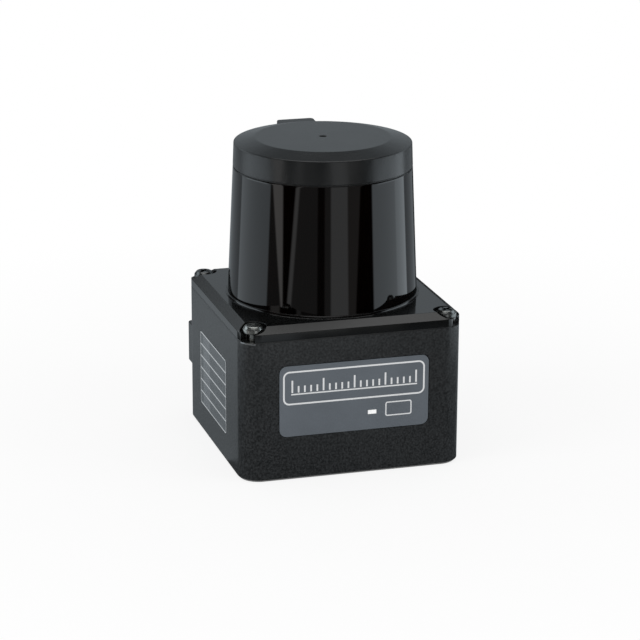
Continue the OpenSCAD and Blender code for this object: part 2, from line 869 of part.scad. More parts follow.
// Block that wraps the rear corners of the case
module block_plan() {
  block_half_w = half_w - block_inset;
  front_y = half_d - corner_r;
  back_y = half_d + block_depth;
  difference() {
    union() {
      translate([-block_half_w, front_y])
        square([2 * block_half_w, back_y - front_y - block_edge_r]);
      translate([block_edge_r - block_half_w, front_y])
        square([2 * (block_half_w - block_edge_r), back_y - front_y]);
      for (side = [-1, 1])
        translate([side * (block_half_w - block_edge_r), back_y - block_edge_r]) circle(block_edge_r);
    }
    case_plan();
  }
}

module block_screws() {
  color([0.3, 0.3, 0.32])
  for (side = [-1, 1])
    translate([side * block_screw_x, half_d + block_seat_t, block_mid_z])
      rotate([-90, 0, 0]) main_screw(block_seat_t + wall);
}

module io_socket() {
  color([0.85, 0.84, 0.78])
  difference() {
    translate([io_x, socket_end_y - io_l / 2, signal_top]) box(io_w, io_l, io_top_h);
    translate([io_x, socket_end_y - io_l / 2 + io_floor_t, signal_top + io_t])
      box(io_w - 2 * io_t, io_l, io_top_h - 2 * io_t);
    io_contacts(io_pin_r);
  }
}

module io_pins() {
  color([0.85, 0.7, 0.3])
  io_contacts(io_pin_r);
}

module io_contacts(r) {
  for (column = [0:io_columns - 1], row = [-1, 1])
    translate([
      io_x + (column - (io_columns - 1) / 2) * io_pitch,
      socket_end_y - io_l + cut,
      io_mid_z + row * io_pitch / 2
    ])
      translate([-r, 0, -r]) cube([2 * r, io_floor_t - cut + io_pin_l, 2 * r]);
}

module usb_socket() {
  color([0.75, 0.75, 0.77])
  difference() {
    translate([usb_x, socket_end_y - usb_l / 2, signal_top]) box(usb_w, usb_l, usb_h);
    translate([usb_x, socket_end_y - usb_l / 2 + cut, signal_top + usb_t])
      box(usb_w - 2 * usb_t, usb_l, usb_h - 2 * usb_t);
  }
}

module usb_tongue() {
  color([0.1, 0.1, 0.1])
  translate([usb_x, socket_end_y - usb_l + cut, usb_mid_z - tongue_t / 2])
    translate([-tongue_w / 2, 0, 0]) cube([tongue_w, usb_l - 3 * cut, tongue_t]);
}

// Boards

module square_board() {
  linear_extrude(board_t)
    difference() {
      square([2 * board_half_w, 2 * board_half_d], center = true);
      at_corners(screw_x, screw_y) circle(boss_r + loose_gap);
      at_corners(pillar_x, pillar_y) circle(thread_r + pass_gap);
    }
}

module power_board() {
  color([0.08, 0.3, 0.16])
  translate([0, 0, power_z]) square_board();
}

module signal_board() {
  color([0.08, 0.3, 0.16])
  translate([0, 0, signal_z]) square_board();
}

// Place on a square board, as shares of its half width and half depth
module on_board(x, y) {
  translate([x * board_half_w, y * board_half_d, 0]) children();
}

module power_parts() {
  color([0.14, 0.14, 0.15])
  translate([0, 0, power_top]) {
    for (x = [-0.46, 0.07]) on_board(x, -0.52) box(choke_w, choke_w, choke_h);
    for (x = [-0.59, -0.33, -0.07]) on_board(x, 0.46) cylinder(h = capacitor_h, r = capacitor_r);
    on_board(0.46, 0.3) box(chip_w, small_chip_w, chip_h);
    on_board(0.46, -0.2) box(small_chip_w, small_chip_w, chip_h);
    on_board(-0.2, 0) box(chip_l, chip_w, chip_h);
  }
}

module signal_parts() {
  color([0.12, 0.12, 0.13])
  translate([0, 0, signal_top]) {
    for (x = [-0.65, 0.65]) on_board(x, -0.3) box(chip_w, chip_l, chip_h);
    on_board(-0.26, -0.65) box(chip_l, chip_w, chip_h);
    for (x = [-0.65, 0.65]) on_board(x, 0.26) box(small_chip_w, small_chip_w, chip_h);
  }
}

module status_led() {
  color([0.9, 0.9, 0.88])
  translate([light_x, led_d / 2 + fit_gap - board_half_d, signal_top]) box(led_w, led_d, led_h);
}

module standoffs(z, h) {
  at_corners(pillar_x, pillar_y)
    translate([0, 0, z]) {
      difference() {
        cylinder(h = h, r = ear_r, $fn = 6);
        translate([0, 0, h - stud_l - cut]) cylinder(h = stud_l + 2 * cut, r = thread_r);
      }
      translate([0, 0, -board_t - stud_l]) cylinder(h = board_t + stud_l, r = thread_r - thread_gap);
    }
}

module lower_standoffs() {
  color([0.8, 0.66, 0.35])
  standoffs(power_top, lower_gap);
}

module upper_standoffs() {
  color([0.8, 0.66, 0.35])
  standoffs(signal_top, upper_gap);
}

module frame_screws() {
  color([0.62, 0.63, 0.65])
  at_corners(pillar_x, pillar_y)
    translate([0, 0, frame_top]) main_screw(frame_t + stud_l);
}

module flex_sockets() {
  color([0.9, 0.89, 0.84])
  difference() {
    union() {
      translate([0, flex_y, signal_top]) box(flex_socket_w, flex_socket_l, flex_socket_h);
      translate([0, laser_socket_y, laser_board_top]) box(flex_socket_w, laser_socket_l, laser_socket_h);
    }
    laser_flex_strip(flex_w + 2 * fit_gap, flex_t + fit_gap);
  }
}

module laser_flex() {
  color([0.75, 0.5, 0.2])
  laser_flex_strip(flex_w, flex_t);
}

// Flat cable from the signal board up the spine, round its bend and on to the laser board
module laser_flex_strip(w, t) {
  foot_z = signal_top + flex_socket_h - flex_grip;
  bend_z = flex_top_z - flex_bend_r;
  bend_y = flex_y - flex_bend_r;
  end_y = laser_socket_y + laser_socket_l / 2 - flex_grip;
  translate([0, flex_y, foot_z]) box(w, t, bend_z - foot_z);
  translate([-w / 2, bend_y, bend_z]) rotate([90, 0, 90])
    rotate_strip(w, t);
  translate([-w / 2, end_y, flex_top_z - t / 2]) cube([w, bend_y - end_y, t]);
}

// Quarter turn of the flat cable
module rotate_strip(w, t) {
  rotate_extrude(angle = 90)
    translate([flex_bend_r - t / 2, 0]) square([t, w]);
}

// Fixed optics and motor

module optical_frame() {
  color([0.55, 0.56, 0.58])
  union() {
    difference() {
      translate([0, 0, frame_z]) {
        cylinder(h = ring_top - frame_z, r = ring_r);
        frame_arms();
      }
      translate([0, 0, frame_z - cut]) cylinder(h = frame_t + 2 * cut, r = tube_r);
      translate([0, 0, frame_top]) cylinder(h = ring_top, r = stator_r - ring_ledge);
      translate([0, 0, stator_z]) cylinder(h = ring_top, r = stator_r);
      at_corners(pillar_x, pillar_y)
        translate([0, 0, frame_z - cut]) cylinder(h = frame_t + 2 * cut, r = thread_r + pass_gap);
      at_corners(pillar_x, pillar_y)
        translate([0, 0, frame_top]) cylinder(h = ring_top, r = head_r + loose_gap);
      translate([0, flex_y + wall, frame_z - cut])
        box(channel_w + 2 * cut, 2 * (wall + channel_t), ring_top);
    }
    lens_tube();
  }
}

// Arms of the frame's plate, out to the spacers
module frame_arms() {
  arm_l = norm([pillar_x, pillar_y]);
  arm_turn = atan2(pillar_y, pillar_x);
  for (turn = [arm_turn, -arm_turn])
    rotate(turn) box(2 * arm_l, 2 * ear_r, frame_t);
  at_corners(pillar_x, pillar_y) cylinder(h = frame_t, r = ear_r);
}

module lens_tube() {
  difference() {
    rotate_extrude()
      polygon([
        [lens_r - lens_rim, frame_z - tube_foot_h],
        [tube_shoulder_r, frame_z - tube_foot_h],
        [tube_shoulder_r, lower_bearing_z],
        [tube_r, lower_bearing_z],
        [tube_r, tube_top],
        [tube_in_r, tube_top],
        [tube_in_r, lens_seat_z],
        [lens_r - lens_rim, lens_seat_z]
      ]);
    at_receiver_screws() cylinder(h = receiver_hole_l, r = small_thread_r);
  }
}

module receive_lens() {
  color([0.7, 0.8, 0.85, 0.5])
  translate([0, 0, lens_seat_z]) lens(lens_r, lens_rim, lens_rim_t, lens_dome);
}

module lens_retainer() {
  color([0.12, 0.12, 0.12])
  translate([0, 0, lens_seat_z + lens_rim_t])
    tube(lens_r, lens_r - lens_rim + fit_gap, retainer_h);
}

module at_receiver_screws() {
  ring = (lens_r - lens_rim + tube_shoulder_r) / 2;
  for (turn = [30, 150, 270])
    rotate(turn) translate([ring, 0, frame_z - tube_foot_h]) children();
}

module receiver_board() {
  color([0.08, 0.3, 0.16])
  difference() {
    translate([0, 0, frame_z - tube_foot_h - small_board_t])
      cylinder(h = small_board_t, r = tube_shoulder_r);
    at_receiver_screws()
      translate([0, 0, -2 * cut]) cylinder(h = 3 * cut, r = small_thread_r + pass_gap / 2);
  }
}

module receiver_screws() {
  color([0.62, 0.63, 0.65])
  at_receiver_screws()
    translate([0, 0, -small_board_t]) mirror([0, 0, 1]) small_screw(small_board_t + receiver_grip);
}

module photodiode() {
  color([0.7, 0.68, 0.6])
  translate([0, 0, frame_z - tube_foot_h]) {
    cylinder(h = receiver_base_t, r = receiver_base_r);
    cylinder(h = receiver_can_h, r = receiver_can_r);
  }
}

module stator_core() {
  color([0.4, 0.4, 0.42])
  translate([0, 0, stator_z])
    linear_extrude(core_h)
      difference() {
        union() {
          difference() {
            circle(stator_r);
            circle(stator_r - yoke_t);
          }
          at_teeth() {
            translate([stator_in_r, -tooth_w / 2]) square([stator_t - yoke_t / 2, tooth_w]);
            translate([stator_in_r - cut, -tooth_w]) square([cut + tooth_tip, 2 * tooth_w]);
          }
        }
        circle(stator_in_r);
      }
}

module at_teeth() {
  for (i = [0:tooth_count - 1])
    rotate((i + 0.5) * 360 / tooth_count) children();
}

module stator_coils() {
  color([0.72, 0.4, 0.2])
  at_teeth() {
    length = stator_r - yoke_t - loose_gap - coil_start;
    translate([coil_start, 0, stator_z + core_h / 2]) rotate([90, 0, 90])
      linear_extrude(length)
        difference() {
          round_rect(tooth_w + 2 * coil_t, core_h + 2 * winding_h, coil_t);
          square([tooth_w, core_h], center = true);
        }
  }
}

// Forked sensor over the rim of the encoder disc
module encoder_sensor() {
  color([0.1, 0.1, 0.1])
  rotate(225)
    difference() {
      translate([disc_r - sensor_reach, -sensor_w / 2, ring_top])
        cube([ring_r - sensor_gap - disc_r + sensor_reach, sensor_w, fork_h]);
      translate([disc_r - sensor_reach - cut, -sensor_w / 2 - cut, disc_z - sensor_gap])
        cube([sensor_reach + cut + sensor_gap, sensor_w + 2 * cut, disc_t + 2 * sensor_gap]);
    }
}

module bearing_inner_rings() {
  color([0.72, 0.73, 0.75])
  at_bearings() bearing_ring(tube_r, ball_ring_r - race_half);
}

module bearing_outer_rings() {
  color([0.72, 0.73, 0.75])
  at_bearings() bearing_ring(ball_ring_r + race_half, hub_in_r);
}

module at_bearings() {
  for (z = [lower_bearing_z, upper_bearing_z])
    translate([0, 0, z]) children();
}

// Bearing ring with a groove for the balls
module bearing_ring(r_in, r_out) {
  rotate_extrude()
    difference() {
      translate([r_in, 0]) square([r_out - r_in, bearing_w]);
      translate([ball_ring_r, bearing_w / 2]) circle(ball_r + running_gap);
    }
}

// Balls held in a thin cage
module bearing_balls() {
  color([0.85, 0.85, 0.87])
  at_bearings()
    translate([0, 0, bearing_w / 2]) {
      for (i = [0:ball_count - 1])
        rotate(i * 360 / ball_count) translate([ball_ring_r, 0, 0]) sphere(ball_r);
      translate([0, 0, -ball_r / 2]) tube(ball_ring_r + race_half / 2, ball_ring_r - race_half / 2, ball_r);
    }
}

module bearing_spacer() {
  color([0.65, 0.66, 0.68])
  translate([0, 0, lower_bearing_z + bearing_w])
    tube(tube_r + spacer_t, tube_r, upper_bearing_z - lower_bearing_z - bearing_w);
}

module bearing_nut() {
  color([0.65, 0.66, 0.68])
  translate([0, 0, upper_bearing_z + bearing_w])
    tube(tube_r + nut_t, tube_r, nut_h);
}

// Laser unit in the cap

module laser_board() {
  color([0.08, 0.3, 0.16])
  translate([0, 0, laser_board_z])
    difference() {
      cylinder(h = small_board_t, r = spigot_in_r - loose_gap);
      translate([0, 0, -cut]) {
        at_laser_bosses() cylinder(h = small_board_t + 2 * cut, r = small_thread_r + pass_gap / 2);
        at_diode_leads() cylinder(h = small_board_t + 2 * cut, r = diode_lead_r + fit_gap);
      }
    }
}

module at_diode_leads() {
  for (turn = [0, 120, 240])
    rotate(turn) translate([diode_lead_ring, 0, 0]) children();
}

module laser_screws() {
  color([0.62, 0.63, 0.65])
  at_laser_bosses()
    translate([0, 0, laser_board_z]) mirror([0, 0, 1]) small_screw(small_board_t + laser_grip);
}

module laser_holder() {
  color([0.6, 0.61, 0.63])
  rotate_extrude()
    polygon([
      [collimator_r - holder_lip, holder_z],
      [holder_r, holder_z],
      [holder_r, laser_board_z - holder_flange_t],
      [holder_flange_r, laser_board_z - holder_flange_t],
      [holder_flange_r, laser_board_z],
      [diode_r, laser_board_z],
      [diode_r, diode_seat_z],
      [collimator_r, diode_seat_z],
      [collimator_r, holder_z + collimator_seat],
      [collimator_r - holder_lip, holder_z + collimator_seat]
    ]);
}

module laser_diode() {
  color([0.8, 0.7, 0.4])
  translate([0, 0, diode_seat_z]) {
    cylinder(h = diode_base_t, r = diode_r);
    translate([0, 0, -diode_can_h]) cylinder(h = diode_can_h + cut / 2, r = collimator_r - loose_gap);
    at_diode_leads() cylinder(h = laser_board_top - diode_seat_z + diode_sink, r = diode_lead_r);
  }
}

module collimator_lens() {
  color([0.7, 0.8, 0.85, 0.5])
  translate([0, 0, holder_z + collimator_seat])
    lens(collimator_r, collimator_rim, collimator_t, collimator_dome);
}

// Turning parts

module rotor_hub() {
  color([0.6, 0.61, 0.63])
  difference() {
    rotate_extrude()
      polygon([
        [hub_in_r, hub_z],
        [hub_r, hub_z],
        [hub_r, disc_z + disc_t],
        [hub_r + disc_collar, disc_z + disc_t],
        [hub_r + disc_collar, disc_z + disc_t + disc_collar],
        [hub_r, disc_z + disc_t + disc_collar],
        [hub_r, flange_z],
        [flange_r, flange_z],
        [flange_r, flange_top],
        [hub_in_r, flange_top],
        [hub_in_r, upper_bearing_z],
        [hub_in_r - hub_lip, upper_bearing_z],
        [hub_in_r - hub_lip, lower_bearing_z + bearing_w],
        [hub_in_r, lower_bearing_z + bearing_w]
      ]);
    at_tower_screws()
      translate([0, 0, -flange_t - cut]) cylinder(h = flange_t + 2 * cut, r = small_thread_r);
  }
}

module rotor_magnet() {
  color([0.25, 0.25, 0.27])
  translate([0, 0, stator_z - magnet_over]) tube(magnet_r, hub_r, core_h + 2 * magnet_over);
}

module encoder_disc() {
  color([0.3, 0.3, 0.32])
  translate([0, 0, disc_z])
    difference() {
      tube(disc_r, hub_r, disc_t);
      for (i = [0:slot_count - 1])
        rotate(i * 360 / slot_count)
          translate([disc_r - slot_rim - slot_l, -slot_w / 2, -cut])
            cube([slot_l, slot_w, disc_t + 2 * cut]);
    }
}

module at_tower_screws() {
  for (turn = [200, 270, 340])
    rotate(turn) translate([tower_screw_r, 0, flange_top]) children();
}

module mirror_tower() {
  color([0.09, 0.09, 0.1])
  difference() {
    union() {
      translate([0, 0, flange_top]) cylinder(h = tower_base_t, r = flange_r);
      intersection() {
        translate([0, 0, flange_top]) cylinder(h = tower_top - flange_top, r = tower_r);
        rotate([90, 0, 90]) linear_extrude(2 * tower_r, center = true) tower_section();
      }
    }
    translate([0, 0, flange_top - cut]) cylinder(h = tower_base_t + 2 * cut, r = tube_in_r);
    at_tower_screws()
      translate([0, 0, -cut]) cylinder(h = tower_base_t + 2 * cut, r = small_thread_r + pass_gap / 2);
    receive_mirror_plate();
    emit_mirror_plate();
    tower_pocket();
  }
}

// Section through the tower: its lower face looks down and its upper face up, both to the front
module tower_section() {
  edge_y = (receive_z - emit_z) / 2;
  polygon([
    [edge_y + tower_nose, receive_z - edge_y - tower_nose],
    [receive_z - tower_floor, tower_floor],
    [receive_z - tower_floor, flange_top],
    [tower_r, flange_top],
    [tower_r, tower_top],
    [tower_top - emit_z, tower_top],
    [edge_y + tower_nose, emit_z + edge_y + tower_nose]
  ]);
}

// Pocket that lightens the tower from behind
module tower_pocket() {
  low = tower_floor + pocket_wall;
  front_y = receive_z - low + pocket_wall * sqrt(2);
  translate([0, front_y + tower_r / 2, low]) box(tower_r, tower_r, tower_top - pocket_wall - low);
}

module receive_mirror_plate() {
  translate([0, 0, receive_z]) rotate([-45, 0, 0])
    translate([0, mirror_step, mirror_sink - receive_mirror_t])
      box(receive_mirror_w, receive_mirror_l, receive_mirror_t);
}

module emit_mirror_plate() {
  translate([0, 0, emit_z]) rotate([45, 0, 0])
    translate([0, 0, -mirror_sink]) box(emit_mirror_w, emit_mirror_w, emit_mirror_t);
}

module emit_mirror() {
  color([0.85, 0.87, 0.9])
  emit_mirror_plate();
}

module receive_mirror() {
  color([0.85, 0.87, 0.9])
  receive_mirror_plate();
}

module tower_screws() {
  color([0.62, 0.63, 0.65])
  at_tower_screws()
    translate([0, 0, tower_base_t]) small_screw(tower_base_t + flange_t - cut / 2);
}

lower_case();
case_gasket();
top_cover();
cover_screws();
optical_window();
window_seal();
top_cap();
cap_seal();
rear_spine();
name_plate();
status_light_pipe();
side_label();
connector_block();
block_screws();
io_socket();
io_pins();
usb_socket();
usb_tongue();
power_board();
power_parts();
signal_board();
signal_parts();
status_led();
lower_standoffs();
upper_standoffs();
frame_screws();
flex_sockets();
laser_flex();
optical_frame();
receive_lens();
lens_retainer();
receiver_board();
receiver_screws();
photodiode();
stator_core();
stator_coils();
encoder_sensor();
bearing_inner_rings();
bearing_spacer();
bearing_nut();
laser_board();
laser_screws();
laser_holder();
laser_diode();
collimator_lens();
bearing_balls();
rotor_hub();
rotor_magnet();
encoder_disc();
bearing_outer_rings();
mirror_tower();
tower_screws();
emit_mirror();
receive_mirror();
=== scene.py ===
"""Looks of a compact scanning range finder: textured paint, dark window, cap, plates, screws and studio."""

import json
import math

import bmesh
import bpy
from mathutils import Matrix, Vector

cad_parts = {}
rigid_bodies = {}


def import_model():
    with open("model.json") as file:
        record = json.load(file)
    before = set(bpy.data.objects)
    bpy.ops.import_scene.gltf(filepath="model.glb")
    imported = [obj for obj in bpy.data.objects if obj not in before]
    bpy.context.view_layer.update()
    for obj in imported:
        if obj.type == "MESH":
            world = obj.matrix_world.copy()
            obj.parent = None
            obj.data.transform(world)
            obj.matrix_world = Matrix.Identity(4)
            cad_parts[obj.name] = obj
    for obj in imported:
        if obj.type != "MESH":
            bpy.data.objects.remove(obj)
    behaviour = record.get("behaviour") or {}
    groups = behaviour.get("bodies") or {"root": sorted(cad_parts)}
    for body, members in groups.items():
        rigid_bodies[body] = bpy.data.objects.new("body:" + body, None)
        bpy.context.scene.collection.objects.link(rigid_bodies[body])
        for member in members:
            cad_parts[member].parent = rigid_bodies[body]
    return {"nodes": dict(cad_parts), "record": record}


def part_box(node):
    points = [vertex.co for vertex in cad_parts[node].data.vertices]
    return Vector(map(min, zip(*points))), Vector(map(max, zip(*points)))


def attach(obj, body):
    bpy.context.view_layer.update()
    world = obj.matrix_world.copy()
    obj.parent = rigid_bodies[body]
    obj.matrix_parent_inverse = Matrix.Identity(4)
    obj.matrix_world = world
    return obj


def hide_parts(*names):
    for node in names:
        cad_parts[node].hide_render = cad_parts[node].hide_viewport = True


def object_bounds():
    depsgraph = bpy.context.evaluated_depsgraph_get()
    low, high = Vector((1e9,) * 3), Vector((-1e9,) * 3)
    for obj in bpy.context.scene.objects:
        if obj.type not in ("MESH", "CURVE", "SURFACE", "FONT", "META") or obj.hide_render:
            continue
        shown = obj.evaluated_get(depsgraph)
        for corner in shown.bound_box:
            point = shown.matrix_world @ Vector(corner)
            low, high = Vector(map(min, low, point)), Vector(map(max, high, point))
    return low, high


MM = 0.001
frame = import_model()
cad_low, cad_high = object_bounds()
nodes = frame["nodes"]
SLOT_OF = {s["node"]: s["material_slot"] for s in frame["record"]["subparts"]}
BODY_OF = {n: body for body, names in frame["record"]["behaviour"]["bodies"].items() for n in names}


def size_mm(node):
    """Lowest and highest corner of a solid, in mm."""
    low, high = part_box(node)
    return low / MM, high / MM


# Sizes in mm that several pieces share
HEAD_R, HEAD_H = 3.05, 2.1
case_top = size_mm("lower_case")[1].z
cover_high = size_mm("top_cover")[1]
cover_top = cover_high.z
head_top = size_mm("cover_screws")[1]
screw_at = head_top.x - HEAD_R


# Node trees

class Value:
    """A socket whose arithmetic adds Math nodes to its tree."""

    def __init__(self, tree, socket):
        self.tree = tree
        self.socket = socket

    def math(self, operation, *others):
        return self.tree.node(self.tree.math_kind, {"operation": operation}, [self, *others])

    def __add__(self, other):
        return self.math("ADD", other)

    def __sub__(self, other):
        return self.math("SUBTRACT", other)

    def __rsub__(self, other):
        return self.tree.node(self.tree.math_kind, {"operation": "SUBTRACT"}, [other, self])

    def __mul__(self, other):
        return self.math("MULTIPLY", other)

    def __truediv__(self, other):
        return self.math("DIVIDE", other)

    __radd__ = __add__
    __rmul__ = __mul__

    def abs(self):
        return self.math("ABSOLUTE")

    def max(self, other):
        return self.math("MAXIMUM", other)

    def min(self, other):
        return self.math("MINIMUM", other)

    def clamp(self):
        return self.max(0).min(1)


class Tree:
    """A node tree in which any node is made by one call."""

    math_kind = "ShaderNodeMath"

    def __init__(self, tree):
        self.tree = tree
        tree.nodes.clear()

    def node(self, kind, settings=(), inputs=(), out=0):
        made = self.tree.nodes.new(kind)
        for name, value in dict(settings).items():
            if name == "stops":
                self.set_stops(made.color_ramp, value)
            else:
                setattr(made, name, value)
        pairs = inputs.items() if isinstance(inputs, dict) else enumerate(inputs)
        for name, value in pairs:
            if isinstance(value, Value):
                self.tree.links.new(value.socket, made.inputs[name])
            else:
                made.inputs[name].default_value = value
        return Value(self, made.outputs[out]) if made.outputs else made

    @staticmethod
    def set_stops(ramp, stops):
        while len(ramp.elements) < len(stops):
            ramp.elements.new(1)
        for element, (place, colour) in zip(ramp.elements, stops):
            element.position = place
            element.color = (*colour, 1) if isinstance(colour, tuple) else (colour, colour, colour, 1)


class Finish(Tree):
    """A procedural material."""

    def __init__(self, name):
        self.material = bpy.data.materials.new(name)
        self.material.use_nodes = True
        super().__init__(self.material.node_tree)

    def place(self):
        return self.node("ShaderNodeTexCoord", out="Object")

    def axes(self):
        """The three object coordinates, in mm."""
        split = self.node("ShaderNodeSeparateXYZ", inputs=[self.place()])
        outputs = split.socket.node.outputs
        return [Value(self, outputs[i]) * (1 / MM) for i in range(3)]

    def noise(self, grain_mm, detail=2, rough=0.5, stretch=(1, 1, 1)):
        spot = self.node("ShaderNodeMapping", inputs={"Vector": self.place(), "Scale": stretch})
        return self.node("ShaderNodeTexNoise", inputs={
            "Vector": spot, "Scale": 1 / (grain_mm * MM), "Detail": detail, "Roughness": rough})

    def ramp(self, value, *stops):
        return self.node("ShaderNodeValToRGB", {"stops": stops}, [value])

    def mix(self, share, a, b):
        return self.node("ShaderNodeMix", {"data_type": "RGBA"}, {0: share, 6: a, 7: b}, out=2)

    def bump(self, height, depth_mm, strength=1.0):
        return self.node("ShaderNodeBump", inputs={
            "Height": height, "Distance": depth_mm * MM, "Strength": strength})

    def surface(self, **sockets):
        """Ends the material in one surface, whose sockets are given by name."""
        named = {name.replace("_", " ").title(): value for name, value in sockets.items()}
        if "Ior" in named:
            named["IOR"] = named.pop("Ior")
        shader = self.node("ShaderNodeBsdfPrincipled", inputs=named)
        self.node("ShaderNodeOutputMaterial", inputs={"Surface": shader})
        return self.material


# Finishes

# Corner notches: step of their axes out from the screws, radius, and height of the worn rim
NOTCH_STEP, NOTCH_R, RIM_H = 2.0, 2.45, 0.4
# Cover's bevel, and the dimple on the axis of the cap
BEVEL_W, BEVEL_H, DIMPLE_R = 2.8, 1.75, 1.1
BARE_METAL = (0.38, 0.39, 0.39, 1)
BEVEL_COAT = (0.0115, 0.0118, 0.0115, 1)


def length_of(a, b):
    """Length of a flat vector with these two parts."""
    return (a * a + b * b).math("POWER", 0.5)


def box_distance(x, z, middle, half, corner):
    """Distance in mm to the edge of a rounded rectangle, negative inside it."""
    qx = (x - middle[0]).abs() - (half[0] - corner)
    qz = (z - middle[1]).abs() - (half[1] - corner)
    outside = length_of(qx.max(0), qz.max(0))
    return outside + qx.max(qz).min(0) - corner


def line_mask(distance, width, soft=0.06):
    """1 on a line of that width along distance 0, with a soft edge."""
    return ((width / 2 - distance.abs()) * (1 / soft) + 0.5).clamp()


def fill_mask(distance, soft=0.06):
    """1 where a distance is negative, with a soft edge."""
    return (0.5 - distance * (1 / soft)).clamp()


def between(value, low, high, soft):
    """1 where a value lies between two limits, with soft ends."""
    return ((value - low) * (1 / soft) + 0.5).clamp() * ((high - value) * (1 / soft) + 0.5).clamp()


def rise(value, start, span):
    """0 before the start, 1 past the span, even between them."""
    return ((value - start) / span).clamp()


def notch_distance(x, y):
    """Distance in mm from the axis of the nearest corner notch."""
    across, along = (v.abs() - (screw_at + NOTCH_STEP) for v in (x, y))
    return length_of(across, along)


def textured_paint():
    """Fine sprayed charcoal paint on the case, worn to bare metal at the rims of two corner notches."""
    f = Finish("textured_paint")
    x, y, z = f.axes()
    rim = fill_mask(notch_distance(x, y) - NOTCH_R, 0.3) * fill_mask(case_top - RIM_H - z, 0.1)
    bare = rim * fill_mask(x)
    pebbles = f.noise(0.62, 2, 0.5)
    grit = f.noise(0.2, 2, 0.6)
    cloud = f.noise(14, 3, 0.55)
    paint = f.ramp(pebbles * 0.85 + cloud * 0.15,
                   (0.35, (0.0092, 0.0102, 0.0108)), (0.65, (0.0315, 0.0342, 0.036)))
    tone = f.mix(bare, paint, BARE_METAL)
    rough = 0.24 + 0.06 * cloud + 0.08 * grit
    return f.surface(base_color=tone, metallic=bare, roughness=rough, ior=1.5,
                     normal=f.bump(pebbles * 0.75 + grit * 0.25, 0.1, 0.8))


def satin_paint():
    """Smooth coat on the cover: a glossy flat, a duller bevel, and bare metal at one corner notch."""
    f = Finish("satin_paint")
    x, y, z = f.axes()
    grit = f.noise(0.18, 2, 0.6)
    cloud = f.noise(12, 3, 0.55)
    coat = f.ramp(cloud * 0.7 + grit * 0.3,
                  (0.3, (0.0036, 0.0039, 0.0039)), (0.7, (0.0055, 0.0059, 0.0059)))
    worn = fill_mask(notch_distance(x, y) - NOTCH_R, 0.1) * fill_mask(-1 * x) * fill_mask(y)
    flat_half, slope_foot = cover_high.x - BEVEL_W, cover_top - BEVEL_H
    slope = fill_mask(flat_half - x.abs().max(y.abs()), 0.1) * fill_mask(slope_foot - z, 0.1)
    tone = f.mix(worn, f.mix(slope, coat, BEVEL_COAT), BARE_METAL)
    rough = 0.05 + 0.03 * cloud + 0.03 * grit + 0.2 * slope
    return f.surface(base_color=tone, metallic=worn, roughness=rough, ior=1.5,
                     normal=f.bump(grit, 0.006, 0.35))


def cap_moulding():
    """Matt charcoal moulding with a spark-eroded grain, left dull in the dimple on its axis."""
    f = Finish("cap_moulding")
    x, y, _ = f.axes()
    dull = fill_mask(length_of(x, y) - DIMPLE_R, 0.5)
    grain = f.noise(0.22, 3, 0.65)
    cloud = f.noise(9, 3, 0.5)
    tone = f.ramp(cloud * 0.7 + grain * 0.3,
                  (0.3, (0.0078, 0.0086, 0.009)), (0.7, (0.0108, 0.0117, 0.0122)))
    rough = 0.2 + 0.07 * cloud + 0.04 * grain + 0.7 * dull
    return f.surface(base_color=tone, roughness=rough, ior=1.5, normal=f.bump(grain, 0.012, 0.4))


def polished_window():
    """Polished plastic that looks black and passes only deep red and infrared."""
    f = Finish("polished_window")
    cloud = f.noise(16, 2, 0.5)
    wipes = f.noise(1.4, 3, 0.6, (1, 1, 0.08))
    tone = f.ramp(cloud, (0.3, (0.0006, 0.0003, 0.0002)), (0.7, (0.0012, 0.0005, 0.0004)))
    return f.surface(base_color=tone, roughness=0.035 + 0.03 * wipes, ior=1.5)


def bright_steel(name="bright_steel", tone=0.4, rough=0.2):
    """Zinc-plated steel with fine turning marks and a little dullness."""
    f = Finish(name)
    cloud = f.noise(0.9, 3, 0.6)
    marks = f.noise(0.12, 2, 0.6)
    colour = f.ramp(cloud, (0.3, (tone * 0.78, tone * 0.8, tone * 0.77)),
                    (0.7, (tone, tone * 1.02, tone * 0.98)))
    return f.surface(base_color=colour, metallic=1.0, roughness=rough + 0.16 * marks,
                     normal=f.bump(marks, 0.008, 0.5))


def handled_steel():
    """Cover screw steel with painted light and shade: lighter at the front left, darker to the rear right.
    """
    f = Finish("handled_steel")
    x, y, _ = f.axes()
    # Painted light and shade: the steel's tone runs from light at the front left to dark at the rear right.
    share = (x + 2 * y) * (1 / (6 * screw_at)) + 0.5
    plating_light_to_shade = f.ramp(share, (0.0, (0.4, 0.41, 0.39)), (0.33, (0.2, 0.21, 0.205)),
                   (0.67, (0.12, 0.125, 0.125)))
    cloud = f.noise(0.9, 3, 0.6)
    marks = f.noise(0.12, 2, 0.6)
    tone = f.mix(cloud * 0.4, plating_light_to_shade, (0.1, 0.1, 0.1, 1))
    return f.surface(base_color=tone, metallic=1.0, roughness=0.2 + 0.16 * marks,
                     normal=f.bump(marks, 0.008, 0.5))


def moulded(name, low, high, rough=0.5, grain_mm=0.3):
    """Moulded plastic, rubber or board lacquer: two tones, a fine grain and uneven gloss."""
    f = Finish(name)
    grain = f.noise(grain_mm, 3, 0.6)
    cloud = f.noise(5, 3, 0.5)
    tone = f.ramp(cloud * 0.7 + grain * 0.3, (0.3, low), (0.7, high))
    return f.surface(base_color=tone, roughness=rough + 0.12 * cloud, normal=f.bump(grain, 0.012, 0.5))


def machined(name, low, high, rough=0.3, grain_mm=0.4, stretch=(1, 1, 6)):
    """Turned or drawn metal with fine lines along its cut."""
    f = Finish(name)
    lines = f.noise(grain_mm, 3, 0.6, stretch)
    cloud = f.noise(4, 2, 0.5)
    tone = f.ramp(lines * 0.6 + cloud * 0.4, (0.3, low), (0.7, high))
    return f.surface(base_color=tone, metallic=1.0, roughness=rough + 0.15 * lines,
                     normal=f.bump(lines, 0.01, 0.4))


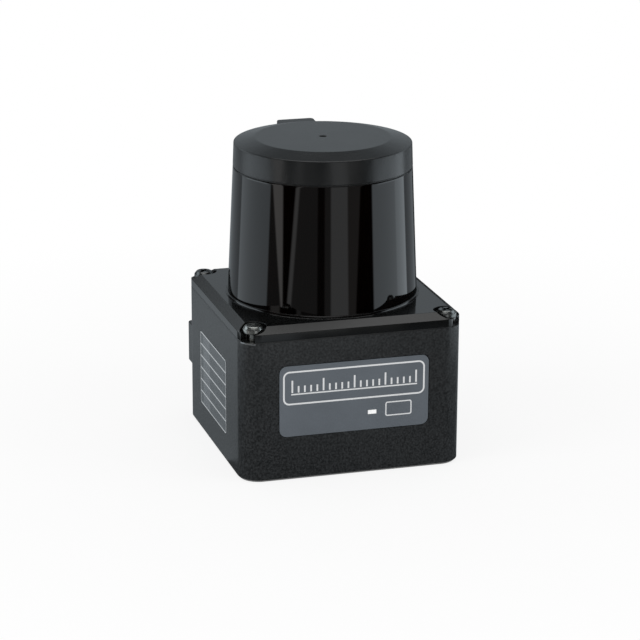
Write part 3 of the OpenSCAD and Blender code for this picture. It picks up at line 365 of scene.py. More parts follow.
def circuit_board():
    """Green lacquer with copper tracks showing through as lighter lines."""
    f = Finish("circuit_board")
    cells = f.node("ShaderNodeTexBrick", {"offset": 0.5}, {
        "Vector": f.place(), "Scale": 1 / (6 * MM), "Mortar Size": 0.06, "Mortar Smooth": 0.2}, out="Fac")
    cloud = f.noise(3, 2, 0.5)
    lacquer = f.ramp(cloud, (0.3, (0.012, 0.085, 0.04)), (0.7, (0.02, 0.12, 0.058)))
    tone = f.mix(cells * 0.6, lacquer, (0.06, 0.24, 0.1, 1))
    return f.surface(base_color=tone, roughness=0.32 + 0.1 * cloud, normal=f.bump(cells, 0.03, 0.4))


def wound_copper():
    """Enamelled wire, turn beside turn."""
    f = Finish("wound_copper")
    turns = f.node("ShaderNodeTexWave", {"bands_direction": "Z"}, {
        "Vector": f.place(), "Scale": 1 / (2.2 * MM), "Distortion": 0.4})
    cloud = f.noise(1.2, 2, 0.5)
    tone = f.ramp(turns * 0.6 + cloud * 0.4, (0.2, (0.24, 0.08, 0.025)), (0.8, (0.62, 0.27, 0.1)))
    return f.surface(base_color=tone, metallic=0.7, roughness=0.3 + 0.15 * cloud,
                     normal=f.bump(turns, 0.06, 0.8))


def lens_glass():
    """Coated glass with a faint cast."""
    f = Finish("lens_glass")
    cloud = f.noise(6, 2, 0.5)
    tone = f.ramp(cloud, (0.3, (0.82, 0.88, 0.92)), (0.7, (0.9, 0.94, 0.95)))
    return f.surface(base_color=tone, roughness=0.03 + 0.03 * cloud, transmission_weight=0.9, ior=1.5)


# Print on the plate in mm: line frame and empty box by middle, half size, corner and line width
FRAME_BOX, FRAME_LINE = ((-0.05, 28.45), (21.5, 4.92), 1.7), 0.5
EMPTY_BOX, EMPTY_LINE = ((13.65, 19.4), (3.9, 2.05), 0.5), 0.36
# Scale marks: step, half width, foot, half height and what every fifth one adds to it
TICK_STEP, TICK_HALF_W, TICK_FOOT, TICK_HALF_H, FIFTH_MORE = 1.9, 0.26, 27.0, 1.0, 0.9
# Half length of the row and sharpness of its ends, and the line under it
TICKS_HALF, TICK_SHARP = 19.4, 20
BASE_AT, BASE_HALF_H, BASE_HALF = 26.5, 0.2, 19.35
PLATE_INK = (0.78, 0.79, 0.8, 1)


def printed_plate():
    """Satin grey plate with a white line frame, a row of plain scale marks and an empty box."""
    f = Finish("printed_plate")
    x, _, z = f.axes()
    outer = line_mask(box_distance(x, z, *FRAME_BOX), FRAME_LINE)
    small = line_mask(box_distance(x, z, *EMPTY_BOX), EMPTY_LINE)
    nearest = (x / TICK_STEP).math("ROUND")
    along = (x - nearest * TICK_STEP).abs()
    fifth = (nearest / 5 - (nearest / 5).math("ROUND")).abs()
    tall = (1 - fifth * TICK_SHARP).clamp()
    half_h = TICK_HALF_H + tall * FIFTH_MORE
    inside = (1 - ((x.abs() - TICKS_HALF) * TICK_SHARP)).clamp()
    ticks = fill_mask(along - TICK_HALF_W) * fill_mask((z - (TICK_FOOT + half_h)).abs() - half_h) * inside
    base = fill_mask((z - BASE_AT).abs() - BASE_HALF_H) * fill_mask(x.abs() - BASE_HALF)
    ink = outer.max(small).max(ticks).max(base)
    grain = f.noise(0.25, 3, 0.6)
    cloud = f.noise(10, 2, 0.5)
    film = f.ramp(cloud * 0.6 + grain * 0.4, (0.3, (0.108, 0.125, 0.144)), (0.7, (0.128, 0.148, 0.171)))
    tone = f.mix(ink, film, PLATE_INK)
    return f.surface(base_color=tone, roughness=0.4 + 0.08 * cloud,
                     normal=f.bump(ink + grain * 0.2, 0.02, 0.5))


# Ruled area of the label in mm, its row height, line widths, and the limits of its first column
LABEL_AT, LABEL_HALF, LABEL_CORNER = (1.4, 20.5), (15.45, 11.4), 0.8
LABEL_ROW, RULE_LINE, EDGE_LINE = 3.8, 0.42, 0.3
FIRST_FROM, FIRST_TO = 5.5, 13.5
LABEL_INK, FIRST_TINT = (0.6, 0.63, 0.65, 1), (0.22, 0.24, 0.26, 1)


def ruled_label():
    """Grey film with six plain ruled rows and a paler first column."""
    f = Finish("ruled_label")
    _, y, z = f.axes()
    area = box_distance(y, z, LABEL_AT, LABEL_HALF, LABEL_CORNER)
    row = (z - LABEL_AT[1]) / LABEL_ROW
    rules = line_mask((row - row.math("ROUND")) * LABEL_ROW, RULE_LINE) * fill_mask(area)
    ink = line_mask(area, EDGE_LINE).max(rules)
    grain = f.noise(0.3, 3, 0.6)
    cloud = f.noise(5, 2, 0.5)
    film = f.ramp(grain * 0.5 + cloud * 0.5, (0.3, (0.083, 0.094, 0.102)), (0.7, (0.108, 0.121, 0.13)))
    field = f.mix(between(y, FIRST_FROM, FIRST_TO, 0.1) * 0.35, film, FIRST_TINT)
    tone = f.mix(ink * 0.85, field, LABEL_INK)
    return f.surface(base_color=tone, roughness=0.36 + 0.1 * grain,
                     normal=f.bump(ink + grain * 0.3, 0.015, 0.5))


def light_guide():
    """Milky light guide."""
    f = Finish("light_guide")
    cloud = f.noise(1.5, 2, 0.5)
    tone = f.ramp(cloud, (0.3, (0.82, 0.83, 0.83)), (0.7, (0.92, 0.92, 0.92)))
    return f.surface(base_color=tone, roughness=0.25 + 0.1 * cloud,
                     emission_color=tone, emission_strength=0.25)


FINISH = {
    "case_paint": textured_paint(),
    "black_rubber": moulded("gasket_rubber", (0.012, 0.0125, 0.013), (0.02, 0.021, 0.0215), 0.26),
    "screw_steel": bright_steel(),
    "dark_steel": bright_steel("blackened_steel", 0.16, 0.32),
    "window_plastic": polished_window(),
    "cap_plastic": cap_moulding(),
    "plate_grey": printed_plate(),
    "label_grey": ruled_label(),
    "light_white": light_guide(),
    "socket_black": moulded("socket_nylon", (0.012, 0.012, 0.012), (0.022, 0.022, 0.022), 0.42),
    "socket_cream": moulded("cream_nylon", (0.6, 0.57, 0.47), (0.7, 0.67, 0.57), 0.42),
    "contact_gold": machined("gold_contacts", (0.7, 0.48, 0.16), (0.85, 0.64, 0.27), 0.22, 0.3, (1, 6, 1)),
    "shell_steel": machined("drawn_steel", (0.48, 0.48, 0.49), (0.64, 0.64, 0.65), 0.25, 0.3, (1, 6, 1)),
    "board_green": circuit_board(),
    "chip_black": moulded("chip_resin", (0.014, 0.014, 0.015), (0.026, 0.026, 0.028), 0.5, 0.15),
    "spacer_brass": machined("turned_brass", (0.58, 0.4, 0.16), (0.74, 0.55, 0.27), 0.26),
    "flex_amber": moulded("amber_film", (0.36, 0.16, 0.03), (0.48, 0.24, 0.06), 0.3),
    "frame_aluminium": machined("milled_aluminium", (0.5, 0.51, 0.52), (0.64, 0.65, 0.66), 0.32),
    "clear_glass": lens_glass(),
    "core_steel": machined("stacked_steel", (0.2, 0.2, 0.21), (0.36, 0.36, 0.37), 0.38, 0.35,
                           (0.2, 0.2, 3)),
    "coil_copper": wound_copper(),
    "bearing_steel": machined("ground_steel", (0.6, 0.61, 0.62), (0.74, 0.75, 0.76), 0.14),
    "mirror_silver": machined("front_silvered", (0.84, 0.85, 0.86), (0.9, 0.91, 0.91), 0.03, 3, (1, 1, 1)),
}
for name, thing in nodes.items():
    thing.data.materials.clear()
    thing.data.materials.append(FINISH[SLOT_OF[name]])


# Pieces

# Distances in mm within which points are merged, on a copied solid and along the seam of a turned piece
MERGE, SEAM = 0.002, 0.0005
# Distances in mm within which points count as level with a face or as lying on an edge
LEVEL, ON_EDGE = 0.01, 0.03
# Angles in degrees under which faces of a solid are joined to one, and past which an edge stays sharp
FLAT_DEGREES, SHARP_DEGREES, TURNED_DEGREES, SCREW_DEGREES = 0.6, 32, 40, 35


def new_object(name, data):
    """New object of the scene with that mesh, lamp or camera."""
    thing = bpy.data.objects.new(name, data)
    bpy.context.scene.collection.objects.link(thing)
    return thing


def plain_mesh(thing):
    """Bakes a piece's modifiers into its mesh."""
    graph = bpy.context.evaluated_depsgraph_get()
    graph.update()
    mesh = bpy.data.meshes.new_from_object(thing.evaluated_get(graph))
    thing.modifiers.clear()
    thing.data = mesh
    return thing


def smooth(thing, degrees=SHARP_DEGREES):
    """Shades a piece smoothly, apart from edges past that angle."""
    thing.data.shade_smooth()
    thing.data.set_sharp_from_angle(angle=math.radians(degrees))


def settle(thing, *replaced):
    """Gives a finished piece its body, slot and finish from the solids that it stands for."""
    slot = SLOT_OF[replaced[0]]
    thing.data.materials.clear()
    thing.data.materials.append(FINISH[slot])
    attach(thing, BODY_OF[replaced[0]])
    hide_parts(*replaced)
    return thing


def cut_away(thing, cutter):
    """Takes the cutter's shape out of a piece and deletes the cutter."""
    step = thing.modifiers.new("cut", "BOOLEAN")
    step.object = cutter
    step.solver = "EXACT"
    step.use_self = True
    plain_mesh(thing)
    bpy.data.objects.remove(cutter)


# Tab of the cap in mm: its top under the cap's top, the rise to its rear edge, and where it starts
TAB_DROP, TAB_RISE, TAB_FROM = 1.8, 0.38, 20


def slope_tab(shape):
    """Lets the top of the cap's tab rise a little to its rear edge."""
    tab_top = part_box("top_cap")[1].z - TAB_DROP * MM
    rim = [v for v in shape.verts if abs(v.co.z - tab_top) < LEVEL * MM and v.co.y > TAB_FROM * MM]
    front = min(v.co.y for v in rim)
    rear = max(v.co.y for v in rim)
    for v in rim:
        v.co.z += TAB_RISE * MM * (v.co.y - front) / (rear - front)


def eased(name, node, width_mm, segments=3, from_degrees=28, reshape=None):
    """Copy of a solid with its edges rounded a little, as on cast, moulded and cut parts."""
    shape = bmesh.new()
    shape.from_mesh(nodes[node].data)
    bmesh.ops.remove_doubles(shape, verts=shape.verts, dist=MERGE * MM)
    bmesh.ops.dissolve_limit(shape, angle_limit=math.radians(FLAT_DEGREES), verts=shape.verts,
                             edges=shape.edges)
    if reshape:
        reshape(shape)
    mesh = bpy.data.meshes.new(name)
    shape.to_mesh(mesh)
    shape.free()
    thing = new_object(name, mesh)
    rounding = thing.modifiers.new("rounding", "BEVEL")
    rounding.width = width_mm * MM
    rounding.segments = segments
    rounding.limit_method = "ANGLE"
    rounding.angle_limit = math.radians(from_degrees)
    rounding.use_clamp_overlap = False
    rounding.miter_outer = "MITER_ARC"
    plain_mesh(thing)
    smooth(thing)
    shading = thing.modifiers.new("even_shading", "WEIGHTED_NORMAL")
    shading.keep_sharp = True
    plain_mesh(thing)
    return settle(thing, node)


class Shaper(Tree):
    """A Geometry Nodes tree with named inputs."""

    def __init__(self, name, **inputs):
        group = bpy.data.node_groups.new(name, "GeometryNodeTree")
        super().__init__(group)
        face = group.interface
        face.new_socket("Geometry", in_out="INPUT", socket_type="NodeSocketGeometry")
        face.new_socket("Geometry", in_out="OUTPUT", socket_type="NodeSocketGeometry")
        self.ids = {}
        for label, kind in inputs.items():
            self.ids[label] = face.new_socket(label, in_out="INPUT", socket_type=kind).identifier
        entry = group.nodes.new("NodeGroupInput")
        self.given = {s.name: Value(self, s) for s in entry.outputs if s.name}

    def finish(self, geometry):
        flat = self.node("GeometryNodeRealizeInstances", inputs=[geometry])
        dressed = self.node("GeometryNodeSetMaterial", inputs={
            "Geometry": flat, "Material": self.given["Finish"]})
        self.node("NodeGroupOutput", inputs=[dressed])

    def apply(self, thing, **values):
        step = thing.modifiers.new(self.tree.name, "NODES")
        step.node_group = self.tree
        for label, value in values.items():
            step[self.ids[label]] = value
        return plain_mesh(thing)


def lathe_tree():
    """Turns a closed profile, given as points with radius in X and height in Z, round the Z axis."""
    t = Shaper("turned_piece", Segments="NodeSocketInt", Finish="NodeSocketMaterial")
    profile = t.given["Geometry"]
    count = t.node("GeometryNodeAttributeDomainSize", inputs=[profile], out="Point Count")
    around = t.given["Segments"]
    sheet = t.node("GeometryNodeMeshGrid", inputs={"Vertices X": around + 1, "Vertices Y": count + 1})
    index = t.node("GeometryNodeInputIndex")
    turn = (index / (count + 1)).math("FLOOR")
    rung = (index - turn * (count + 1)).math("MODULO", count)
    point = t.node("GeometryNodeSampleIndex", {"data_type": "FLOAT_VECTOR"}, {
        "Geometry": profile, "Value": t.node("GeometryNodeInputPosition"), "Index": rung})
    split = t.node("ShaderNodeSeparateXYZ", inputs=[point]).socket.node.outputs
    radius, height = Value(t, split[0]), Value(t, split[2])
    angle = turn / around * math.tau
    place = t.node("ShaderNodeCombineXYZ", inputs=[
        radius * angle.math("COSINE"), radius * angle.math("SINE"), height])
    wrapped = t.node("GeometryNodeSetPosition", inputs={"Geometry": sheet, "Position": place})
    joined = t.node("GeometryNodeMergeByDistance", inputs={"Geometry": wrapped, "Distance": SEAM * MM})
    t.finish(joined)
    return t


# Largest share of a profile's line that one rounding takes, and the steps of a rounding
LINE_SHARE, ROUND_STEPS = 0.48, 5


def eased_profile(points, radii):
    """Closed profile in mm whose corners are rounded by the radius beside each."""
    out = []
    for i, (corner, radius) in enumerate(zip(points, radii)):
        corner = Vector(corner)
        back = Vector(points[i - 1]) - corner
        on = Vector(points[(i + 1) % len(points)]) - corner
        if radius == 0:
            out.append(corner)
            continue
        half = back.angle(on) / 2
        reach = min(radius / math.tan(half), back.length * LINE_SHARE, on.length * LINE_SHARE)
        a, b = corner + back.normalized() * reach, corner + on.normalized() * reach
        for k in range(ROUND_STEPS + 1):
            s = k / ROUND_STEPS
            out.append(a * (1 - s) ** 2 + corner * (2 * s * (1 - s)) + b * s ** 2)
    return out


def turned(name, tree, points, radii, segments, finish):
    """Object turned from a closed profile of (radius, height) points in mm."""
    mesh = bpy.data.meshes.new(name)
    rounded = eased_profile(points, radii)
    mesh.from_pydata([(p[0] * MM, 0, p[1] * MM) for p in rounded],
                     [(i, (i + 1) % len(rounded)) for i in range(len(rounded))], [])
    thing = new_object(name, mesh)
    tree.apply(thing, Segments=segments, Finish=finish)
    shape = bmesh.new()
    shape.from_mesh(thing.data)
    bmesh.ops.remove_doubles(shape, verts=shape.verts, dist=SEAM * MM)
    bmesh.ops.recalc_face_normals(shape, faces=shape.faces)
    shape.to_mesh(thing.data)
    shape.free()
    smooth(thing, TURNED_DEGREES)
    return thing


lathe = lathe_tree()

# Window: polished and tapered, with a chamfered bead at its foot
window_low, window_high = size_mm("optical_window")
bead_r = window_high.x
BEAD_W, BEAD_FOOT, BEAD_H, BEAD_SLOPE = 0.6, 0.1, 0.43, 0.27
TOP_INSET, WALL_EASE, WINDOW_T, WINDOW_SEGMENTS = 2.35, 0.03, 2.0, 288
WINDOW_R, WINDOW_TOP_R = bead_r - BEAD_W, bead_r - TOP_INSET
wall_foot = (WINDOW_R - WALL_EASE, cover_top + BEAD_H + WALL_EASE)
wall_top = (WINDOW_TOP_R, window_high.z)
# Two rings near the ends of the wall keep it shaded as one straight cone
RING_SHARES = (0.006, 0.985)
wall_rings = [tuple(Vector(wall_foot).lerp(Vector(wall_top), share)) for share in RING_SHARES]
window_points = [
    (WINDOW_R - WINDOW_T, window_low.z), (WINDOW_R, window_low.z), (WINDOW_R, cover_top),
    (bead_r, cover_top), (bead_r, cover_top + BEAD_FOOT), (bead_r - BEAD_SLOPE, cover_top + BEAD_H),
    wall_foot, *wall_rings, wall_top,
    (WINDOW_TOP_R - WINDOW_T, window_high.z), (WINDOW_R - WINDOW_T, cover_top),
]
window_radii = [0, 0, 0, 0.05, 0.1, 0.1, 0.06, 0, 0, 0.25, 0.2, 0]
window = turned("polished_window", lathe, window_points, window_radii, WINDOW_SEGMENTS,
                FINISH["window_plastic"])
settle(window, "optical_window")

# Solids whose edges are rounded, with the width of the rounding in mm
eased("painted_case", "lower_case", 0.1)
cover = eased("satin_cover", "top_cover", 0.1)
cover.data.materials[0] = satin_paint()
eased("moulded_cap", "top_cap", 0.25, 3, 9, slope_tab)
eased("moulded_spine", "rear_spine", 0.2)
eased("moulded_block", "connector_block", 0.3)


# Gasket in mm: corner radius of its edge, and how far it stays inside the walls
GASKET_CORNER, GASKET_INSET = 6.1, 0.02


def flush_gasket():
    """The gasket squeezed out level with the walls."""
    shape = bmesh.new()
    shape.from_mesh(nodes["case_gasket"].data)
    bmesh.ops.remove_doubles(shape, verts=shape.verts, dist=MERGE * MM)
    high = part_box("case_gasket")[1]
    step = cad_high.x - high.x - GASKET_INSET * MM
    corner = GASKET_CORNER * MM
    for v in shape.verts:
        from_core = Vector((max(abs(v.co.x) - high.x + corner, 0),
                            max(abs(v.co.y) - high.y + corner, 0)))
        if abs(from_core.length - corner) < ON_EDGE * MM:
            out = from_core.normalized() * step
            v.co.x += math.copysign(out.x, v.co.x)
            v.co.y += math.copysign(out.y, v.co.y)
    mesh = bpy.data.meshes.new("flush_gasket")
    shape.to_mesh(mesh)
    shape.free()
    thing = new_object("flush_gasket", mesh)
    smooth(thing)
    return settle(thing, "case_gasket")


flush_gasket()


# Screws

# Radius and lengths of the shanks in mm, and the radius at which the end faces begin
SHANK_R, COVER_SHANK, BLOCK_SHANK, END_R = 1.45, 8, 5.2, 0.02
# Crown of the head by shares of its radius and height, and the height of its straight rim in mm
CROWN, RIM = [(0.74, 0.96), (0.98, 0.52)], 0.12
SCREW_RADII = [0, 0.6, 0.6, 0.1, 0.1, 0, 0.2, 0]
SCREW_SEGMENTS = 56


def screw_blank(name, shank_l):
    """One pan-head screw without its recess, with its seat at the origin, in mm."""
    crown = [(HEAD_R * out, HEAD_H * up) for out, up in CROWN]
    points = [(END_R, HEAD_H), *crown, (HEAD_R, RIM), (HEAD_R, 0), (SHANK_R, 0), (SHANK_R, -shank_l),
              (END_R, -shank_l)]
    profile = eased_profile(points, SCREW_RADII)
    shape = bmesh.new()
    rings = [[shape.verts.new((p[0] * math.cos(a), p[0] * math.sin(a), p[1])) for p in profile]
             for a in (math.tau * i / SCREW_SEGMENTS for i in range(SCREW_SEGMENTS))]
    for i, ring in enumerate(rings):
        after = rings[(i + 1) % SCREW_SEGMENTS]
        for k in range(len(ring) - 1):
            shape.faces.new((ring[k], ring[k + 1], after[k + 1], after[k]))
    shape.faces.new([ring[0] for ring in rings])
    shape.faces.new([ring[-1] for ring in reversed(rings)])
    bmesh.ops.recalc_face_normals(shape, faces=shape.faces)
    mesh = bpy.data.meshes.new(name)
    shape.to_mesh(mesh)
    shape.free()
    return new_object(name, mesh)


# Driver recess at its mouth and at its floor: length and width by the head's radius, height by the head's
CROSS_MOUTH, CROSS_FLOOR = (1.4, 0.36, 1.1), (0.7, 0.24, 0.3)


def cross_cutter():
    """Tapered cross that cuts the driver recess."""
    shape = bmesh.new()
    for turn in (0, math.pi / 2):
        wing = bmesh.ops.create_cube(shape, size=1)["verts"]
        for v in wing:
            length, width, height = CROSS_MOUTH if v.co.z > 0 else CROSS_FLOOR
            v.co = Vector((v.co.x * HEAD_R * length, v.co.y * HEAD_R * width, HEAD_H * height))
        bmesh.ops.rotate(shape, verts=wing, cent=(0, 0, 0), matrix=Matrix.Rotation(turn, 3, "Z"))
    mesh = bpy.data.meshes.new("cross_cutter")
    shape.to_mesh(mesh)
    shape.free()
    return new_object("cross_cutter", mesh)


def screw_tree():
    """Puts a copy of a screw on each point, turned at random about its own axis."""
    t = Shaper("screw_set", Screw="NodeSocketObject", Tilt="NodeSocketVector", Seed="NodeSocketInt",
               Finish="NodeSocketMaterial")
    shape = t.node("GeometryNodeObjectInfo", inputs={"Object": t.given["Screw"]}, out="Geometry")
    spin = t.node("FunctionNodeRandomValue", {"data_type": "FLOAT"}, {
        "Max": math.tau, "Seed": t.given["Seed"]}, out=1)
    own = t.node("ShaderNodeCombineXYZ", inputs={"Z": spin})
    turned_shape = t.node("FunctionNodeRotateEuler", {"rotation_type": "EULER", "space": "LOCAL"}, {
        "Rotation": t.given["Tilt"], "Rotate By": own})
    set_out = t.node("GeometryNodeInstanceOnPoints", inputs={
        "Points": t.given["Geometry"], "Instance": shape, "Rotation": turned_shape})
    t.finish(set_out)
    return t


def screw_set(name, node, points, tilt, seed, shank_l):
    """The screws of one node, with their seats at these points in mm."""
    blank = screw_blank(name + "_blank", shank_l)
    cut_away(blank, cross_cutter())
    blank.data.transform(Matrix.Scale(MM, 4))
    smooth(blank, SCREW_DEGREES)
    mesh = bpy.data.meshes.new(name)
    mesh.from_pydata([tuple(c * MM for c in p) for p in points], [], [])
    thing = new_object(name, mesh)
    screws.apply(thing, Screw=blank, Tilt=tilt, Seed=seed, Finish=FINISH[SLOT_OF[node]])
    bpy.data.objects.remove(blank)
    smooth(thing, SCREW_DEGREES)
    return settle(thing, node)


screws = screw_tree()
cover_points = [(sx * screw_at, sy * screw_at, head_top.z - HEAD_H) for sx in (-1, 1) for sy in (-1, 1)]
cover_screws = screw_set("cover_screw_set", "cover_screws", cover_points, (0, 0, 0), 4, COVER_SHANK)
# The cover screws take the steel with painted light and shade.
cover_screws.data.materials[0] = handled_steel()
block_low, block_high = size_mm("block_screws")
block_points = [(s * (block_high.x - HEAD_R), block_high.y - HEAD_H, (block_low.z + block_high.z) / 2)
                for s in (-1, 1)]
screw_set("block_screw_set", "block_screws", block_points, (-math.pi / 2, 0, 0), 7, BLOCK_SHANK)


# Camera

VIEW_TURN, VIEW_RISE, VIEW_ROLL = math.radians(16.418), math.radians(17.175), math.radians(0.227)
VIEW_REACH, LENS_MM, SENSOR_MM = 0.77399, 143.01, 36
SHIFT_X, SHIFT_Y, CLIP_START = 0.0045, -0.003, 0.01
AIM_MM = (-1.57, 0, 38.36)
aim = Vector(AIM_MM) * MM
back = Vector((-math.sin(VIEW_TURN) * math.cos(VIEW_RISE), -math.cos(VIEW_TURN) * math.cos(VIEW_RISE),
               math.sin(VIEW_RISE)))
right = Vector((math.cos(VIEW_TURN), -math.sin(VIEW_TURN), 0))
up = back.cross(right)
lens = bpy.data.cameras.new("view")
lens.lens, lens.sensor_width = LENS_MM, SENSOR_MM
lens.shift_x, lens.shift_y = SHIFT_X, SHIFT_Y
lens.clip_start = CLIP_START
camera = new_object("view", lens)
leant_right = right * math.cos(VIEW_ROLL) + up * math.sin(VIEW_ROLL)
leant_up = back.cross(leant_right)
pose = Matrix((leant_right, leant_up, back)).transposed().to_4x4()
pose.translation = aim + back * VIEW_REACH
camera.matrix_world = pose
bpy.context.scene.camera = camera


# Studio

def seen_by_camera(f):
    """1 for the camera, for gloss and through glass, 0 for light that falls on the object."""
    path = f.node("ShaderNodeLightPath").socket.node.outputs
    camera_ray, gloss_ray, glass_ray = (
        Value(f, path[name]) for name in ("Is Camera Ray", "Is Glossy Ray", "Is Transmission Ray"))
    return camera_ray.max(gloss_ray).max(glass_ray)


# Share of the floor's own white near the object, and where it grows to all of it, in mm from the middle
NEAR_WHITE, WHITE_FROM, WHITE_SPAN = 0.84, 90, 150


def pale_floor():
    """Floor that shows white, with part of the object's own shadow near it."""
    f = Finish("pale_floor")
    x, y, _ = f.axes()
    share = NEAR_WHITE + (1 - NEAR_WHITE) * rise(length_of(x, y), WHITE_FROM, WHITE_SPAN)
    paper = f.ramp(f.noise(40, 2), (0.3, 0.86), (0.7, 0.88))
    matt = f.node("ShaderNodeBsdfDiffuse", inputs={"Color": paper})
    glow = f.node("ShaderNodeEmission", inputs={"Color": (1, 1, 1, 1), "Strength": 1.0})
    both = f.node("ShaderNodeMixShader", inputs=[seen_by_camera(f) * share, matt, glow])
    f.node("ShaderNodeOutputMaterial", inputs={"Surface": both})
    return f.material


# What a cool panel lacks in red and has more in blue
LESS_RED, MORE_BLUE = 0.1, 0.07


def cool(level, share=1.0):
    """Panel colour of that level, cooler than grey by a share, or warmer below 0."""
    return (level * (1 - LESS_RED * share), level, level * (1 + MORE_BLUE * share))


# What gloss sees round the object. Bearings are in degrees from the camera, other lengths in mm.
# Each panel by the bearing of its near edge, its lean in degrees for each mm of height, and its colour
PANELS = [(-115.5, 0, cool(0.88)), (-107, 0, cool(0.9)), (-90, 0.62, cool(0.9)),
          (-64, 0.03, cool(0.1, 0)), (-55, -0.33, cool(0.95, -0.3)), (-46, -0.06, cool(0.002, 0)),
          (-34.6, 0.2, cool(0.68, 0)), (-30, 0.2, cool(0.15, 0)), (-5.5, 0, cool(0.02, 0)),
          (2.5, 0, cool(0.16, 0)), (9.4, 0, cool(0.66, 0.2)), (28.7, 0, cool(0.2, -0.4)),
          (41.5, 0.16, cool(0.001, 0)), (59.6, 0, cool(1.15)), (96, 0, cool(1.48)), (116.5, 0, cool(0.31))]
PANEL_MIDDLE, EDGE_BLUR, TURN_BLUR = 44, 2.0, 4
# Upper edge of the panels, which stands higher in front
PANEL_TOP, FRONT_RISE, FRONT_HALF, FRONT_SPAN, TOP_BLUR = 70, 30, 62, 10, 2
# Bright upper edge of the side panels
BRIM, BRIM_LEFT, BRIM_RIGHT, BRIM_FROM, BRIM_BLUR = cool(1.9), (-104, -68), (68, 114), 59, 1.5
# Walls over the panels, which fade to dark higher up
ABOVE = [(-128, 0, cool(0.06)), (128, 0, cool(0.36))]
FADE, FADE_FROM, FADE_SPAN = 0.72, 170, 60
# Dark veil over the panels, which ends lower on the far left
FLAG = cool(0.03)
VEIL_FROM, VEIL_TO, VEIL_LOW, VEIL_STEP, VEIL_TURN, VEIL_BLUR = 60, 162, 93.5, 14.5, -140, 2.5
# Cards high on both sides, and a low dark flag behind
CARD, CARD_FROM, CARD_TO, CARD_LOW, CARD_HIGH, CARD_BLUR = cool(1.5), 80, 130, 112, 185, 8
FLAG_FROM, FLAG_TO, FLAG_TOP, FLAG_REACH, FLAG_BLUR, FLAG_SPAN = 150, 178, 60, 60, 6, 10
# Table, which is darker in front of a slanting edge, and the strip where it meets the panels
TABLE_FRONT, TABLE_NEAR, TABLE_BACK = cool(0.075), cool(0.275), cool(0.365)
TABLE_EDGE, TABLE_SLANT, TABLE_SIDE, NEAR_REACH, NEAR_SPAN = 66, 1.14, 50, 45, 75
FOOT = [(-150, 0, cool(0.7)), (-60, 0, cool(0.45)), (22.5, 0, cool(0.12)), (28.5, 0, cool(0.09)),
        (60, 0, cool(0.4)), (110, 0, cool(0.05))]
FOOT_REACH, WALL_FROM, FOOT_BLUR = 145, 4, 6


def panel_ring():
    """Light panels, dark flags and a table round the object, by their bearing from the camera."""
    f = Finish("panel_ring")
    x, y, z = f.axes()
    across = x * math.cos(VIEW_TURN) - y * math.sin(VIEW_TURN)
    towards = x * -math.sin(VIEW_TURN) - y * math.cos(VIEW_TURN)
    bearing = across.math("ARCTAN2", towards) * (180 / math.pi)
    aside = bearing.abs()
    reach = length_of(across, towards)

    def round_about(row):
        shade = (*row[-1][2], 1)
        for edge, lean, colour in row:
            past = (bearing - (z - PANEL_MIDDLE) * lean - edge) if lean else bearing - edge
            shade = f.mix((past * (1 / EDGE_BLUR) + 0.5).clamp(), shade, (*colour, 1))
        return shade

    behind = ((TABLE_EDGE - towards - across.abs() * TABLE_SLANT) * 0.5).clamp()
    behind = behind * ((aside - TABLE_SIDE) * 0.5).clamp()
    back = f.mix(rise(reach, NEAR_REACH, NEAR_SPAN), (*TABLE_NEAR, 1), (*TABLE_BACK, 1))
    table = f.mix(behind, (*TABLE_FRONT, 1), back)
    table = f.mix(rise(reach, FOOT_REACH, FOOT_BLUR) * (1 - behind), table, round_about(FOOT))

    veil_top = VEIL_LOW + VEIL_STEP * rise(bearing, VEIL_TURN, TURN_BLUR)
    veil = between(aside, VEIL_FROM, VEIL_TO, TURN_BLUR) * ((veil_top - z) / VEIL_BLUR).clamp()
    above = f.mix(veil, round_about(ABOVE), (*FLAG, 1))
    sides = between(bearing, *BRIM_LEFT, TURN_BLUR) + between(bearing, *BRIM_RIGHT, TURN_BLUR)
    lit = f.mix(sides * rise(z, BRIM_FROM, BRIM_BLUR), round_about(PANELS), (*BRIM, 1))
    top = PANEL_TOP + FRONT_RISE * ((FRONT_HALF - aside) / FRONT_SPAN).clamp()
    wall = f.mix(((z - top) / TOP_BLUR).clamp(), lit, above)
    wall = f.mix(rise(z, FADE_FROM, FADE_SPAN) * FADE, wall, (0, 0, 0, 1))
    card = between(aside, CARD_FROM, CARD_TO, TURN_BLUR) * between(z, CARD_LOW, CARD_HIGH, CARD_BLUR)
    wall = f.mix(card, wall, (*CARD, 1))

    shade = f.mix(rise(z, WALL_FROM, FOOT_BLUR), table, wall)
    flag = between(bearing, FLAG_FROM, FLAG_TO, FLAG_BLUR) * ((FLAG_TOP - z) / FLAG_BLUR).clamp()
    shade = f.mix(flag * rise(reach, FLAG_REACH, FLAG_SPAN), shade, (*FLAG, 1))
    glow = f.node("ShaderNodeEmission", inputs={"Color": shade, "Strength": 1.0})
    f.node("ShaderNodeOutputMaterial", inputs={"Surface": glow})
    return f.material


def staged(name, mesh, material):
    """Object of the studio, which isn't part of the scanner."""
    thing = new_object(name, mesh)
    mesh.materials.append(material)
    return thing


FLOOR_HALF, FLOOR_DROP = 4.0, 0.02
floor_mesh = bpy.data.meshes.new("studio_floor")
floor_mesh.from_pydata([(-FLOOR_HALF, -FLOOR_HALF, 0), (FLOOR_HALF, -FLOOR_HALF, 0),
                        (FLOOR_HALF, FLOOR_HALF, 0), (-FLOOR_HALF, FLOOR_HALF, 0)], [], [(0, 1, 2, 3)])
floor = staged("studio_floor", floor_mesh, pale_floor())
floor.location.z = -FLOOR_DROP * MM

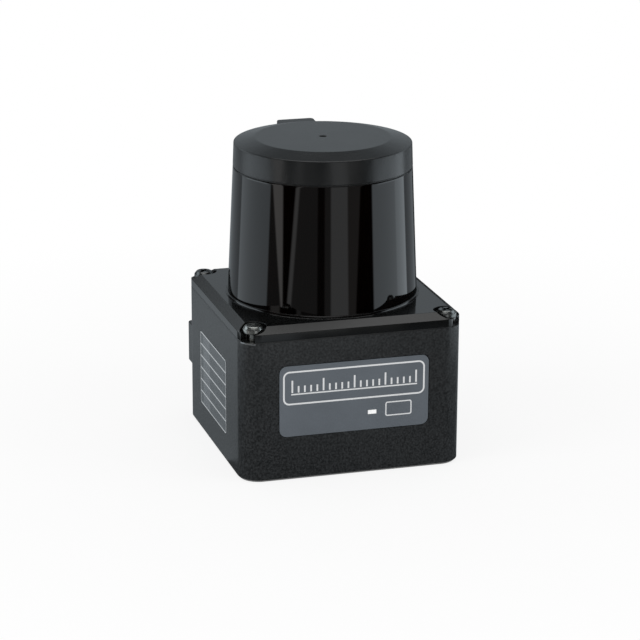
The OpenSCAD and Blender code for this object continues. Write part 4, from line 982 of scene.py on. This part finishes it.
# Bowl that carries the panels: radius and height of its rings in metres
BOWL = [(0.001, 0.0006), (0.13, 0.0008), (0.155, 0.003), (0.164, 0.012), (0.17, 0.05), (0.176, 0.16),
        (0.18, 0.34)]
BOWL_SEGMENTS = 96
bowl_points = []
bowl_faces = []
for i in range(BOWL_SEGMENTS):
    angle = math.tau * i / BOWL_SEGMENTS
    bowl_points += [(r * math.cos(angle), r * math.sin(angle), z) for r, z in BOWL]
    here = i * len(BOWL)
    after = (i + 1) % BOWL_SEGMENTS * len(BOWL)
    bowl_faces += [(here + k, here + k + 1, after + k + 1, after + k) for k in range(len(BOWL) - 1)]
ring_mesh = bpy.data.meshes.new("studio_panels")
ring_mesh.from_pydata(bowl_points, [], bowl_faces)
panels = staged("studio_panels", ring_mesh, panel_ring())
panels.visible_camera = False
panels.visible_diffuse = False
panels.visible_shadow = False
panels.visible_transmission = False

LIGHTS_AIM = Vector((0, 0, 0.05))


def soft_box(name, place, size, watts, shows=False):
    """Rectangular lamp that faces the object, and that gloss shows only where shows is true."""
    light = bpy.data.lights.new(name, "AREA")
    light.shape = "RECTANGLE"
    light.size, light.size_y = size
    light.energy = watts
    thing = new_object(name, light)
    thing.location = place
    thing.rotation_euler = (LIGHTS_AIM - Vector(place)).to_track_quat("-Z", "Y").to_euler()
    thing.visible_glossy = shows


soft_box("top_box", (0, -0.05, 0.9), (1.3, 1.3), 3.0, True)
soft_box("left_box", (-0.8, -0.2, 0.45), (0.5, 0.8), 2.8)
soft_box("right_box", (0.7, -0.5, 0.4), (0.4, 0.7), 1.5)

world = bpy.data.worlds.new("studio")
bpy.context.scene.world = world
world.use_nodes = True
sky = Tree(world.node_tree)
# Strength of the world's light on the object; where the world is seen, it is 1
AMBIENT = 0.55
light_level = seen_by_camera(sky) * (1 - AMBIENT) + AMBIENT
backdrop = sky.node("ShaderNodeBackground", inputs={"Color": (1, 1, 1, 1), "Strength": light_level})
sky.node("ShaderNodeOutputWorld", inputs={"Surface": backdrop})
bpy.context.scene.view_settings.view_transform = "Standard"
